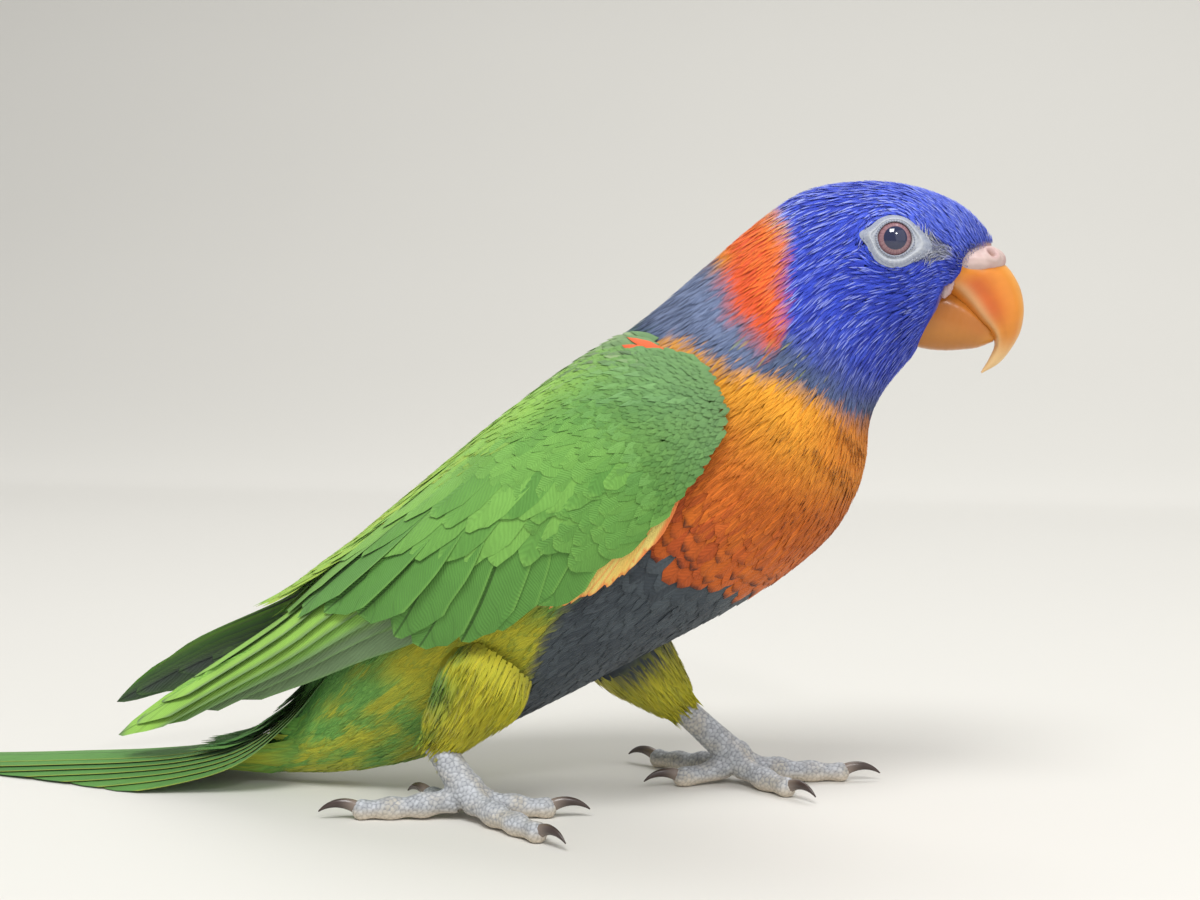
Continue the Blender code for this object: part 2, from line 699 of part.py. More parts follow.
def make_wing(word):
    """One closed wing: its core, tiers of coverts laid like shingles, and long free feathers."""

    def surface(distance, across):
        return wing_point(distance, across, word)

    core = wing_core(word)
    pieces = []
    for tier in TIERS.values():
        for i in range(tier["count"]):
            at = 2 * i / (tier["count"] - 1)
            root, tip = through(tier["roots"], at), through(tier["tips"], at)
            low, high = tier["lift"]
            lift = (low + tier["stagger"] * i / 2, high + tier["stagger"] * i)
            shape = (tier["width"], SIDES[word], lift, tier["depth"], tier["point"], tier["rows"], VANE_ROLL)
            pieces.append(vane(surface, root, tip, *shape))
    combine(core, pieces, "UNION", "MANIFOLD")
    reach = BEYOND * MM / 2 - GAP * MM / 2
    bpy.ops.mesh.primitive_cube_add(size=BEYOND * MM, location=(0, -SIDES[word] * reach, 0))
    middle = bake_place(link_as_part(bpy.context.object, "middle"))
    combine(core, [body_copy("nape", "undertail", 23), middle], "DIFFERENCE", "MANIFOLD")
    merge_flat(core)
    shade(core)


def tail_point(distance, across):
    """A point of the tail's form: distance from its root along the middle, across in millimetres."""
    line = np.array([through(TAIL_LINE, at) for at in np.linspace(0, len(TAIL_LINE) - 1, 80)])
    steps = np.concatenate([[0], np.cumsum(np.linalg.norm(np.diff(line, axis=0), axis=1))])
    x, z = (np.interp(distance, steps, line[:, k]) for k in range(2))
    return np.array([x, across, z - TAIL_ARCH * across**2])


def make_tail():
    """Twelve tail feathers in pairs, the longest on top, with the coverts over their roots."""
    upper, lower = [], []
    for f in np.linspace(0, 1, 6):
        distance = TAIL_CORE[0] + f * (TAIL_CORE[1] - TAIL_CORE[0])
        normal = normal_of(tail_point, distance, 0)
        upper.append([])
        lower.append([])
        for g in np.linspace(-1, 1, 6):
            point = tail_point(distance, g * (TAIL_CORE_HALF - TAIL_CORE_TAPER * f))
            thick = (1 - 0.6 * g * g) * (TAIL_CORE_DEPTH * (1 - 0.55 * f))
            upper[-1].append(point + normal * 0.35 * thick)
            lower[-1].append(point - normal * 0.65 * thick)
    core = slab("tail", upper, lower, "green")
    pieces = []
    for pair, length in enumerate(TAIL_LENGTHS):
        for side in SIDES.values():
            low = -(pair + TAIL_STEP_SHARE * (side < 0)) * TAIL_STEP
            root = (TAIL_ROOT[0], side * (TAIL_ROOT[1] + pair * TAIL_ROOT_SPREAD))
            tip = (length, side * (TAIL_TIP_ACROSS + pair * TAIL_TIP_SPREAD))
            pieces.append(vane(tail_point, root, tip, TAIL_WIDTH, 1, (low, low), TAIL_THICKNESS, 0.7, 6))
    for start, end, across in TAIL_COVERTS:
        for side in (1, -1) if across else (1,):
            root, tip = (start, side * across * 0.5), (end, side * across)
            v = TAIL_COVERT
            lift = (v["lift"][0], v["lift"][1] - v["slope"] * across)
            pieces.append(vane(tail_point, root, tip, v["width"], 1, lift, v["depth"], v["point"], v["rows"]))
    combine(core, pieces, "UNION", "MANIFOLD")
    combine(core, [body_copy("flank", "undertail", 12)], "DIFFERENCE", "MANIFOLD")
    merge_flat(core)
    rest_on_floor(core)
    shade(core)


def rest_on_floor(obj):
    """Flattens whatever would reach below the floor."""
    for vertex in obj.data.vertices:
        vertex.co.z = max(vertex.co.z, 0.0)


def make_leg(word):
    """The feathered thigh, the scaly shank, and four toes with their claws, two ahead and two behind."""
    side = SIDES[word]
    hip, ankle, joint = (np.array(place[word]) for place in (HIP, ANKLE, TOE_JOINT))
    down = (ankle - hip) / np.linalg.norm(ankle - hip)
    line = np.array([hip + f * (ankle - hip) for f in THIGH_AT] + [ankle + down * THIGH_END])
    radii = np.array(THIGH_RADII)
    thigh = swept(f"thigh_{word}", line, radii, THIGH_SIDES, "yellow")
    combine(thigh, [body_copy("breast", "undertail", 16)], "DIFFERENCE")
    shade(thigh)

    shank_line = np.linspace(ankle, joint, len(SHANK_RADII))
    shank_radii = np.array(SHANK_RADII)
    shank = swept(f"shank_{word}", shank_line, shank_radii, TOE_SIDES, "foot")
    combine(shank, [hub_at(joint, 0.0)], "UNION")
    line[-1] += down * GAP
    combine(shank, [swept("room", line, radii + GAP, THIGH_SIDES)], "DIFFERENCE")
    rest_on_floor(shank)
    shade(shank)

    laid = [(shank_line, shank_radii)]
    for toe, degrees in TOES[word].items():
        rooms = [swept("room", line, np.asarray(radii) + GAP, TOE_SIDES) for line, radii in laid]
        rooms.append(hub_at(joint, GAP))
        laid.append(make_toe(word, side, toe, math.radians(degrees), joint, rooms))


def hub_at(joint, grow):
    """The knuckle where the toes meet."""
    hub = ball("hub", HUB_RADIUS + grow, *BALL_SIDES)
    hub.location = tuple(joint * MM)
    return bake_place(hub)


def make_toe(word, side, toe, heading, joint, rooms):
    """A toe of plump pads flattened on the floor, and its curved claw. Returns the toe's line and radii."""
    length, pads = TOE_LENGTHS[toe], TOE_PADS[toe]
    out = np.array([math.cos(heading), -side * math.sin(heading), 0.0])
    count = 3 * pads + 3
    centres, radii = [], []
    for f in np.append(np.linspace(0, 1, count), 1 + TOE_END / length):
        base = TOE_RADIUS + f * (TOE_TIP_RADIUS - TOE_RADIUS)
        swell = 1 + TOE_SWELL * math.cos(2 * math.pi * pads * f)
        radius = base * swell if f < 1 else base * TOE_END_SHARES[0 if f == 1 else 1]
        height = base * TOE_LIFT + TOE_ARCH * max(1 - f, 0) ** 3
        centres.append(np.array([joint[0], joint[1], height]) + out * (TOE_START + f * length))
        radii.append(radius)
    name = f"toe_{word}_{toe}"
    obj = swept(name, centres, radii, TOE_SIDES, "foot")
    rest_on_floor(obj)
    combine(obj, rooms, "DIFFERENCE")
    shade(obj)

    line, claw_radii = [], []
    bend = CLAW_LENGTH / math.radians(CLAW_TURN)
    start = centres[-1] - out * CLAW_ROOT[0] + np.array([0, 0, CLAW_ROOT[1]])
    tilt = math.radians(CLAW_TILT)
    for f in np.linspace(0, 1, CLAW_ROWS):
        angle = tilt - f * math.radians(CLAW_TURN)
        forward = bend * (math.sin(tilt) - math.sin(angle))
        upward = bend * (math.cos(angle) - math.cos(tilt))
        line.append(start + out * forward + np.array([0, 0, upward]))
        claw_radii.append(CLAW_RADIUS * (1 - CLAW_TAPER[0] * f ** CLAW_TAPER[1]))
    claw = swept(f"claw_{word}_{toe}", line, claw_radii, CLAW_SIDES, "claw")
    room = swept("room", centres, [r + GAP for r in radii], TOE_SIDES)
    tip_room = ball("tip_room", radii[-1] + GAP * 1.5, *BALL_SIDES)
    tip_room.location = tuple((centres[-1] - out * 0.5) * MM)
    combine(claw, [room, bake_place(tip_room)], "DIFFERENCE")
    shade(claw)
    return centres, radii


def clear_scene():
    for obj in list(bpy.data.objects):
        bpy.data.objects.remove(obj)


def make_materials():
    made = {}
    for name, (colour, roughness) in COLOURS.items():
        material = bpy.data.materials.new(name)
        material.use_nodes = True
        shader = material.node_tree.nodes["Principled BSDF"]
        shader.inputs["Base Color"].default_value = (*colour, 1)
        shader.inputs["Roughness"].default_value = roughness
        made[name] = material
    return made


def stand_on_origin(parts):
    """Hangs every part on one empty, with the middle of the bird's foot print at the origin."""
    corners = np.array([v.co for obj in parts for v in obj.data.vertices])
    low, high = corners.min(0), corners.max(0)
    holder = bpy.data.objects.new("lorikeet", None)
    bpy.context.scene.collection.objects.link(holder)
    for obj in parts:
        obj.parent = holder
    holder.location = (-(low[0] + high[0]) / 2, -(low[1] + high[1]) / 2, -low[2])


clear_scene()
PARTS = bpy.data.collections.new("rainbow lorikeet")
bpy.context.scene.collection.children.link(PARTS)
MATERIALS = make_materials()
make_head()
for part_name, part_colour in (("neck", "collar"), ("torso", "orange"), ("rump", "yellow")):
    shade(loft(part_name, body_rings(part_name), part_colour))
for part_word in SIDES:
    make_wing(part_word)
    make_leg(part_word)
make_tail()
stand_on_origin(list(PARTS.objects))
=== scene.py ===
import json
import math

import bmesh
import bpy
import numpy as np
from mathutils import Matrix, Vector, kdtree

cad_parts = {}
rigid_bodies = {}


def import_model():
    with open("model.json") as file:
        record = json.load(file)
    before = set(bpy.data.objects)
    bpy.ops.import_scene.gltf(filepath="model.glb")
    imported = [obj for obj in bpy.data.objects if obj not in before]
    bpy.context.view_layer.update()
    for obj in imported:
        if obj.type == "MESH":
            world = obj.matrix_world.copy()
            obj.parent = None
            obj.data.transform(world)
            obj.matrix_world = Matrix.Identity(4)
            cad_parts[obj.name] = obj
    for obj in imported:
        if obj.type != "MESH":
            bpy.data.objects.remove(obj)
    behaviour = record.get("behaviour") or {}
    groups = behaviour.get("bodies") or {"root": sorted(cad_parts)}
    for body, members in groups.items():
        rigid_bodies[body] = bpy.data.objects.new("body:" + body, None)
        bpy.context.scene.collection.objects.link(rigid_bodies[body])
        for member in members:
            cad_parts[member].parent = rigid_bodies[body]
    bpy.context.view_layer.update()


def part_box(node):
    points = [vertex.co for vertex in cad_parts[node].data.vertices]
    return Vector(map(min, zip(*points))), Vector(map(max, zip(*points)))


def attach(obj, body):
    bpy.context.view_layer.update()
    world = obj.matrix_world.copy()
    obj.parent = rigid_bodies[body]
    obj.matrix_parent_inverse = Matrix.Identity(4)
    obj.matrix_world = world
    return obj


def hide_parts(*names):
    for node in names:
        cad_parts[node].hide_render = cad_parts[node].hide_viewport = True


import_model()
scene = bpy.context.scene
mm = 0.001
sides = {"right": -1, "left": 1}
dice = np.random.default_rng(12)


def paint(red, green, blue):
    # a screen colour, 0 to 255, as the linear colour that shaders take
    c = np.array([red, green, blue]) / 255
    return np.where(c <= 0.04045, c / 12.92, ((c + 0.055) / 1.055) ** 2.4)


def unit(vectors):
    return vectors / np.maximum(np.linalg.norm(vectors, axis=-1, keepdims=True), 1e-9)


def ease(value, low, high):
    f = np.clip((value - low) / (high - low), 0, 1)
    return f * f * (3 - 2 * f)


def mixed(first, second, share):
    share = np.asarray(share)[..., None]
    return first * (1 - share) + second * share


def smoothRows(rows, per=24):
    # rows of numbers, with a smooth line of rows through them
    rows = np.asarray(rows, float)
    padded = np.vstack([2 * rows[0] - rows[1], rows, 2 * rows[-1] - rows[-2]])
    at = np.linspace(0, len(rows) - 1, (len(rows) - 1) * per + 1)
    i = np.minimum(at.astype(int), len(rows) - 2)
    f = (at - i)[:, None]
    a, b, c, d = (padded[i + k] for k in range(4))
    curve = 2 * b + (c - a) * f + (2 * a - 5 * b + 4 * c - d) * f**2 + (3 * b - a - 3 * c + d) * f**3
    return at, 0.5 * curve


# The forms that the solids also have, in millimetres. Each station is a cut across the body:
# top x and z, bottom x and z, half width, and how high its widest place lies.
bodyForm = [
    (113.8, 118.0, 104.2, 103.8, 5.6, 0.00),
    (110.8, 122.2, 101.6, 100.4, 8.2, 0.03),
    (105.8, 126.4, 99.0, 97.2, 10.8, 0.05),
    (96.5, 129.9, 95.0, 92.6, 14.0, 0.05),
    (86.0, 130.8, 91.6, 88.2, 15.6, 0.00),
    (75.0, 128.9, 89.4, 84.0, 16.0, -0.05),
    (65.4, 122.6, 88.3, 79.4, 16.4, -0.05),
    (55.0, 113.8, 88.0, 73.8, 18.0, 0.00),
    (43.5, 104.2, 86.0, 66.5, 21.5, 0.05),
    (30.0, 94.0, 81.2, 58.2, 24.5, 0.08),
    (14.4, 81.6, 71.0, 49.0, 26.0, 0.08),
    (-0.6, 69.0, 57.0, 40.2, 25.0, 0.06),
    (-13.2, 57.6, 41.0, 31.2, 22.5, 0.04),
    (-22.4, 47.6, 24.0, 21.8, 19.0, 0.00),
    (-28.6, 37.6, 7.0, 13.0, 15.0, 0.00),
    (-32.6, 28.4, -9.0, 6.5, 10.5, 0.00),
    (-36.4, 18.6, -24.0, 3.2, 7.8, 0.00),
    (-43.0, 9.0, -38.0, 2.2, 5.0, 0.00),
]
bodyFullness = 0.92
bodyLine = smoothRows(bodyForm)


def formPoint(form, station, turn, grow, fullness):
    # a point of a form's outside: turn is 0 along its top, and positive on the left
    at, rows = form
    topX, topZ, bottomX, bottomZ, half, high = (np.interp(station, at, rows[:, k]) for k in range(6))
    upX, upZ = (topX - bottomX) / 2, (topZ - bottomZ) / 2
    reach = np.hypot(upX, upZ)
    share = (np.cos(turn) + high * np.sin(turn) ** 2) * (reach + grow) / reach
    wide = np.sign(np.sin(turn)) * np.abs(np.sin(turn)) ** fullness * (half + grow)
    return np.stack([(topX + bottomX) / 2 + share * upX, wide, (topZ + bottomZ) / 2 + share * upZ], -1)


def bodyPoint(station, turn, grow=0.0):
    return formPoint(bodyLine, station, turn, grow, bodyFullness)


eyeForm = {"x": 94.2, "z": 118.6, "out": 13.2, "forward": 13.0, "up": 6.0, "ball": 4.2, "opening": 3.35, "bulge": 0.25}


def eyeFrame(side):
    turn, rise = math.radians(eyeForm["forward"]), math.radians(eyeForm["up"])
    look = unit(np.array([math.sin(turn), side * math.cos(turn) * math.cos(rise), math.sin(rise)]))
    centre = np.array([eyeForm["x"], side * eyeForm["out"], eyeForm["z"]])
    back = unit(np.array([-1.0, 0, 0]) + look * look[0])
    return centre, look, back, np.cross(look, back) * side


eyeSunk = math.sqrt(eyeForm["ball"] ** 2 - eyeForm["opening"] ** 2) - eyeForm["bulge"]
ballsHere = np.mean([np.mean(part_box("eye_" + word), axis=0) for word in sides], axis=0)
ballsDrawn = np.mean([eyeFrame(side)[0] - eyeFrame(side)[1] * eyeSunk for side in sides.values()], axis=0)
shift = ballsHere - ballsDrawn * mm  # the model stands with the middle of its box over the origin


def toWorld(points):
    return np.asarray(points) * mm + shift


wingForm = {
    "bend": np.array([62.0, 87.0]),
    "tip": np.array([-72.2, 15.9]),
    "stretch": 1.7,
    "rise": {"right": 0.0, "left": 7.0},
    "reach": {"right": 1.0, "left": 1.03},
    # distance, centre height, upper radius, half width, upper edge and lower edge in degrees
    "rows": [
        (-6, 1.0, 13.0, 15.0, 80, 101),
        (0, 0.0, 20.0, 22.8, 68, 103),
        (10, -1.0, 24.0, 27.5, 50, 105),
        (25, -2.0, 24.8, 30.0, 26, 111),
        (45, -3.0, 22.8, 30.5, 18, 116),
        (63, -4.5, 20.6, 29.0, 13, 117),
        (80, -5.0, 17.6, 25.5, 10, 115),
        (95, -4.6, 14.0, 20.5, 9, 112),
        (110, -4.6, 9.8, 16.0, 10, 110),
        (130, -4.0, 6.6, 11.0, 16, 102),
        (160, -3.4, 2.8, 6.5, 24, 95),
    ],
}
wingRows = smoothRows(wingForm["rows"])[1]


def wingSurface(word):
    axis = unit(wingForm["tip"] - wingForm["bend"])

    def surface(distance, across):
        centre, upper, half, first, last = (np.interp(distance, wingRows[:, 0], wingRows[:, k]) for k in range(1, 6))
        turn = np.radians(first + across * (last - first))
        reach = np.where(turn < math.pi / 2, upper, upper * wingForm["stretch"])
        height = centre + reach * np.cos(turn) + wingForm["rise"][word] * ease(distance, 84, 140)
        along = distance * wingForm["reach"][word]
        x = wingForm["bend"][0] + axis[0] * along + axis[1] * height
        z = wingForm["bend"][1] + axis[1] * along - axis[0] * height
        return np.stack([x, sides[word] * half * np.sin(turn), z], -1)

    return surface


tailForm = {
    "line": [
        (-22.0, 36.0),
        (-30.0, 26.5),
        (-37.5, 17.6),
        (-47.0, 10.4),
        (-60.0, 6.6),
        (-75.0, 4.6),
        (-90.0, 3.4),
        (-105.0, 2.3),
        (-120.0, 1.4),
        (-135.0, 0.7),
    ],
    "arch": 0.006,
}
tailRows = smoothRows(tailForm["line"])[1]
tailSteps = np.concatenate([[0], np.cumsum(np.hypot(*np.diff(tailRows, axis=0).T))])


def tailSurface(distance, across):
    x, z = (np.interp(distance, tailSteps, tailRows[:, k]) for k in range(2))
    return np.stack([x, across + 0 * x, z - tailForm["arch"] * across**2], -1)


legForm = {
    "right": {"hip": (11.5, -14.5, 29.0), "ankle": (1.5, -19.5, 14.5), "joint": (8.5, -22.0, 5.6)},
    "left": {"hip": (32.0, 13.0, 33.0), "ankle": (46.0, 18.5, 17.0), "joint": (58.5, 20.0, 5.6)},
    "thigh": (9.6, 10.7, 10.6, 9.4, 7.8, 6.3, 5.3, 3.6),
    "thighAt": (-0.25, 0, 0.2, 0.4, 0.6, 0.8, 0.93, 1.05),
    "shank": (3.0, 3.0, 3.2, 3.5),
}


def thighSurface(word):
    hip, ankle = (np.array(legForm[word][key]) for key in ("hip", "ankle"))
    down = unit(ankle - hip)
    level = unit(np.cross(down, (0, 1, 0)))
    other = np.cross(down, level)

    def surface(share, turn):
        radius = np.interp(share, legForm["thighAt"], legForm["thigh"])[..., None]
        middle = hip + np.asarray(share)[..., None] * (ankle - hip)
        return middle + radius * (np.cos(turn)[..., None] * level + np.sin(turn)[..., None] * other)

    return surface


# Where things are on the body: the nearest station, turn and height over the body's outside.
gridStation, gridTurn = np.meshgrid(np.linspace(0, 17, 171), np.linspace(-math.pi, math.pi, 121), indexing="ij")
gridPoints = bodyPoint(gridStation, gridTurn)
gridNormals = unit(np.cross(np.gradient(gridPoints, axis=1), np.gradient(gridPoints, axis=0)))


def onBody(points):
    flat, normals = gridPoints.reshape(-1, 3), gridNormals.reshape(-1, 3)
    found = np.empty(len(points), int)
    for start in range(0, len(points), 500):
        part = points[start : start + 500]
        gaps = (part**2).sum(1)[:, None] - 2 * part @ flat.T + (flat**2).sum(1)[None]
        found[start : start + 500] = np.argmin(gaps, axis=1)
    height = ((points - flat[found]) * normals[found]).sum(1)
    return gridStation.ravel()[found], gridTurn.ravel()[found], height


def underWing(points):
    # how far in from a closed wing's edge a point lies, from 0 at the edge; below 0 is clear of the wing
    axis = unit(wingForm["tip"] - wingForm["bend"])
    flat = points[:, [0, 2]] - wingForm["bend"]
    distance = flat @ axis
    height = flat @ np.array([axis[1], -axis[0]])
    centre, upper, half, first, last = (np.interp(distance, wingRows[:, 0], wingRows[:, k]) for k in range(1, 6))
    lift = height - centre
    reach = np.where(lift > 0, upper, upper * wingForm["stretch"])
    turn = np.degrees(np.arctan2(np.abs(points[:, 1]) / half, lift / reach))
    across = (turn - first) / (last - first)
    return np.minimum.reduce([distance / 30, across, 1 - across])


def flowNormal(alongA, alongB, facing):
    return unit(np.cross(alongB, alongA)) * facing


def layAlong(surface, a, b, length, rows, facing=1, yaw=0.0, bend=None, steps=(0.02, 0.01)):
    # walks each shaft over a surface from its root, along the lie of the coat: its line, normals and spots
    lines, normals, spots = [], [], []
    for _ in range(rows):
        spots.append(np.stack([a, b], -1))
        point = surface(a, b)
        alongA = (surface(a + steps[0], b) - surface(a - steps[0], b)) / (2 * steps[0])
        alongB = (surface(a, b + steps[1]) - surface(a, b - steps[1])) / (2 * steps[1])
        normal = flowNormal(alongA, alongB, facing)
        way = unit(alongA)
        if bend:
            way = bend(point, way, normal)
        swing = np.asarray(yaw)[..., None]
        way = unit(way * np.cos(swing) + np.cross(normal, way) * np.sin(swing))
        lines.append(point)
        normals.append(normal)
        e, f, g = (alongA**2).sum(-1), (alongA * alongB).sum(-1), (alongB**2).sum(-1)
        p, q = (way * alongA).sum(-1), (way * alongB).sum(-1)
        room = np.maximum(e * g - f * f, 1e-6)
        a = a + (g * p - f * q) / room * length / (rows - 1)
        b = b + (e * q - f * p) / room * length / (rows - 1)
    return np.stack(lines, 1), np.stack(normals, 1), np.stack(spots, 1)


def layBetween(surface, root, tip, rows, facing=1, steps=(0.5, 0.01)):
    # shafts that run straight from a root to a tip in the surface's own measures
    lines, normals = [], []
    for f in np.linspace(0, 1, rows):
        a, b = root[:, 0] + f * (tip[:, 0] - root[:, 0]), root[:, 1] + f * (tip[:, 1] - root[:, 1])
        alongA = surface(a + steps[0], b) - surface(a - steps[0], b)
        alongB = surface(a, b + steps[1]) - surface(a, b - steps[1])
        lines.append(surface(a, b))
        normals.append(flowNormal(alongA, alongB, facing))
    return np.stack(lines, 1), np.stack(normals, 1)


def vaneFaces(rows, columns):
    # one vane is a sheet with a keel under its shaft, closed all round
    top = np.arange(rows * columns).reshape(rows, columns)
    keel = rows * columns + np.arange(rows)
    quads = [(top[k, j], top[k, j + 1], top[k + 1, j + 1], top[k + 1, j]) for k in range(rows - 1) for j in range(columns - 1)]
    for k in range(rows - 1):
        quads.append((top[k, 0], top[k + 1, 0], keel[k + 1], keel[k]))
        quads.append((keel[k], keel[k + 1], top[k + 1, -1], top[k, -1]))
    triangles = [(top[-1, j], top[-1, j + 1], keel[-1]) for j in range(columns - 1)]
    triangles += [(top[0, j + 1], top[0, j], keel[0]) for j in range(columns - 1)]
    return np.array(quads), np.array(triangles)


def downVane(colours, along, v):
    # colours at even steps down each feather, read at its corners
    if colours.ndim == 2:
        return colours[:, None, :]
    at = np.concatenate([along.ravel(), v]) * (colours.shape[1] - 1)
    low = np.minimum(at.astype(int), colours.shape[1] - 2)
    part = (at - low)[None, :, None]
    return colours[:, low] * (1 - part) + colours[:, low + 1] * part


def growVanes(name, lines, normals, width, values, tint, rim, place, material):
    # values: rows, columns, point, power, waist, bow, keel, lift (root, tip), ragged, and curl
    count = len(lines)
    rows, columns = values["rows"], values["columns"]
    u, v = np.linspace(-1, 1, columns), np.linspace(0, 1, rows)
    outer = values.get("outer", 1.0)  # the outer web's share of the inner web's width
    reach = 1 - values["point"] * np.abs(u) ** values["power"]
    along = v[:, None] * reach[None, :]
    at = along * (lines.shape[1] - 1)
    low = np.minimum(at.astype(int), lines.shape[1] - 2)
    part = (at - low)[None, :, :, None]
    ways = unit(np.gradient(lines, axis=1))

    def read(rowsOf):
        return rowsOf[:, low] * (1 - part) + rowsOf[:, low + 1] * part

    centre, normal, way = read(lines), read(normals), read(ways)
    side = unit(np.cross(way, normal))
    half = np.asarray(width)[:, None, None] / 2
    half = half * (values["waist"] + (1 - values["waist"]) * ease(along, 0, 0.5))[None]
    half = half * np.where(u * values.get("hand", 1) > 0, 1.0, outer)[None, None, :]
    lift = values["lift"][0] + (values["lift"][1] - values["lift"][0]) * along[None] ** 0.8
    lift = lift + np.asarray(values.get("stagger", 0.0)).reshape(-1, 1, 1)
    lift = lift + values.get("roll", 0.0) * half * u - values["bow"] * half * np.abs(u) ** 1.6
    length = np.linalg.norm(np.diff(lines, axis=1), axis=2).sum(1)
    ragged = dice.uniform(-1, 1, (count, 1, columns)) * values["ragged"] * length[:, None, None] * (v**3)[None, :, None]
    points = centre + side * (half * u)[..., None] + normal * lift[..., None] + way * ragged[..., None]
    points = points + normal * (values.get("curl", 0.0) * length[:, None, None] * along[None] ** 3)[..., None]
    thick = values["keel"] * (1 - 0.7 * v)
    middle = columns // 2
    keel = points[:, :, middle] - normal[:, :, middle] * thick[None, :, None]
    corners = np.concatenate([points.reshape(count, -1, 3), keel], axis=1)
    size = corners.shape[1]
    tint, rim = downVane(tint, along, v), downVane(rim, along, v)
    if "inner" in values:
        web = np.concatenate([np.tile(u * values.get("hand", 1), rows), np.ones(rows)])
        far = np.concatenate([along.ravel(), v])
        webFrom = np.reshape(values["webFrom"], (-1, 1))
        darkWeb = ease(web[None], webFrom, webFrom + 0.25)
        tint = mixed(tint, values["inner"], np.maximum(darkWeb, ease(far, values["tipFrom"], values["tipFrom"] + 0.16)) * values["innerShare"])
        rim = mixed(rim, values["inner"], np.maximum(darkWeb * values["rimDark"], ease(far, 0.93, 1.0)) * values["innerShare"])
        tint[:, rows * columns :] = values["inner"]
    uv = np.stack(np.broadcast_arrays((u[None, :] + 1) / 2, along), -1).reshape(-1, 2)
    uv = np.concatenate([uv, np.stack([np.full(rows, 0.5), v], -1)])
    buildVanes(name, corners, uv, tint, rim, place, size, vaneFaces(rows, columns), material)
    return bpy.data.objects[name]


def buildVanes(name, corners, uv, tint, rim, place, size, template, material):
    count = len(corners)
    quads, triangles = template
    start = (np.arange(count) * size)[:, None]
    loops = np.concatenate([quads.ravel(), triangles.ravel()])
    totals = np.concatenate([np.full(len(quads), 4), np.full(len(triangles), 3)])
    allLoops = (start + loops[None]).ravel()
    allTotals = np.tile(totals, count)
    mesh = bpy.data.meshes.new(name)
    mesh.vertices.add(count * size)
    mesh.vertices.foreach_set("co", toWorld(corners).astype(np.float32).ravel())
    mesh.loops.add(len(allLoops))
    mesh.loops.foreach_set("vertex_index", allLoops.astype(np.int32))
    mesh.polygons.add(len(allTotals))
    mesh.polygons.foreach_set("loop_start", (np.cumsum(allTotals) - allTotals).astype(np.int32))
    mesh.update(calc_edges=True)
    bake = place[:, None, :] + 0.003 * (uv[None] - 0.5)
    for layer, coordinates in (("OFBake", bake), ("vane", np.broadcast_to(uv[None], (count, size, 2)))):
        made = mesh.uv_layers.new(name=layer)
        made.data.foreach_set("uv", coordinates[:, loops].astype(np.float32).ravel())
    for layer, colours in (("tint", tint), ("rim", rim)):
        made = mesh.color_attributes.new(name=layer, type="FLOAT_COLOR", domain="POINT")
        wide = np.ones((count, size, 4), np.float32)
        wide[..., :3] = colours
        made.data.foreach_set("color", wide.ravel())
    mesh.materials.append(material)
    mesh.shade_smooth()
    mesh.set_sharp_from_angle(angle=math.radians(70))
    obj = bpy.data.objects.new(name, mesh)
    scene.collection.objects.link(obj)
    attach(obj, "root")
    print(f"{name}: {count} feathers, {count * (2 * len(quads) + len(triangles))} triangles")


def rootTree():
    # scatters points over a form, no two nearer than a set distance
    tree = bpy.data.node_groups.new("feather roots", "GeometryNodeTree")
    tree.interface.new_socket("Form", in_out="INPUT", socket_type="NodeSocketGeometry")
    for label, value in (("Spacing", 2.0), ("Most", 1.0)):
        tree.interface.new_socket(label, in_out="INPUT", socket_type="NodeSocketFloat").default_value = value
    tree.interface.new_socket("Seed", in_out="INPUT", socket_type="NodeSocketInt").default_value = 1
    tree.interface.new_socket("Roots", in_out="OUTPUT", socket_type="NodeSocketGeometry")
    start, end = tree.nodes.new("NodeGroupInput"), tree.nodes.new("NodeGroupOutput")
    scatter = tree.nodes.new("GeometryNodeDistributePointsOnFaces")
    scatter.distribute_method = "POISSON"
    vertices = tree.nodes.new("GeometryNodePointsToVertices")
    tree.links.new(start.outputs["Form"], scatter.inputs["Mesh"])
    tree.links.new(start.outputs["Spacing"], scatter.inputs["Distance Min"])
    tree.links.new(start.outputs["Most"], scatter.inputs["Density Max"])
    tree.links.new(start.outputs["Seed"], scatter.inputs["Seed"])
    tree.links.new(scatter.outputs["Points"], vertices.inputs["Points"])
    tree.links.new(vertices.outputs["Mesh"], end.inputs["Roots"])
    return tree


def scatterRoots(surface, aRange, bRange, spacing, seed, cells=(60, 80)):
    a, b = np.meshgrid(np.linspace(*aRange, cells[0]), np.linspace(*bRange, cells[1]), indexing="ij")
    corner = np.arange(a.size).reshape(a.shape)
    quads = np.stack([corner[:-1, :-1], corner[:-1, 1:], corner[1:, 1:], corner[1:, :-1]], -1).reshape(-1, 4)
    mesh = bpy.data.meshes.new("form")
    mesh.from_pydata(surface(a, b).reshape(-1, 3).tolist(), [], quads.tolist())
    for label, values in (("a", a), ("b", b)):
        mesh.attributes.new(label, "FLOAT", "POINT").data.foreach_set("value", values.ravel().astype(np.float32))
    obj = bpy.data.objects.new("form", mesh)
    scene.collection.objects.link(obj)
    tree = bpy.data.node_groups.get("feather roots") or rootTree()
    nodes = obj.modifiers.new("roots", "NODES")
    nodes.node_group = tree
    for item in tree.interface.items_tree:
        if item.name == "Spacing":
            nodes[item.identifier] = float(spacing)
        elif item.name == "Most":
            nodes[item.identifier] = 6.0 / spacing**2
        elif item.name == "Seed":
            nodes[item.identifier] = seed
    scattered = bpy.data.meshes.new_from_object(obj.evaluated_get(bpy.context.evaluated_depsgraph_get()))
    found = []
    for label in ("a", "b"):
        values = np.zeros(len(scattered.vertices), np.float32)
        scattered.attributes[label].data.foreach_get("value", values)
        found.append(values.astype(float))
    bpy.data.objects.remove(obj)
    return found


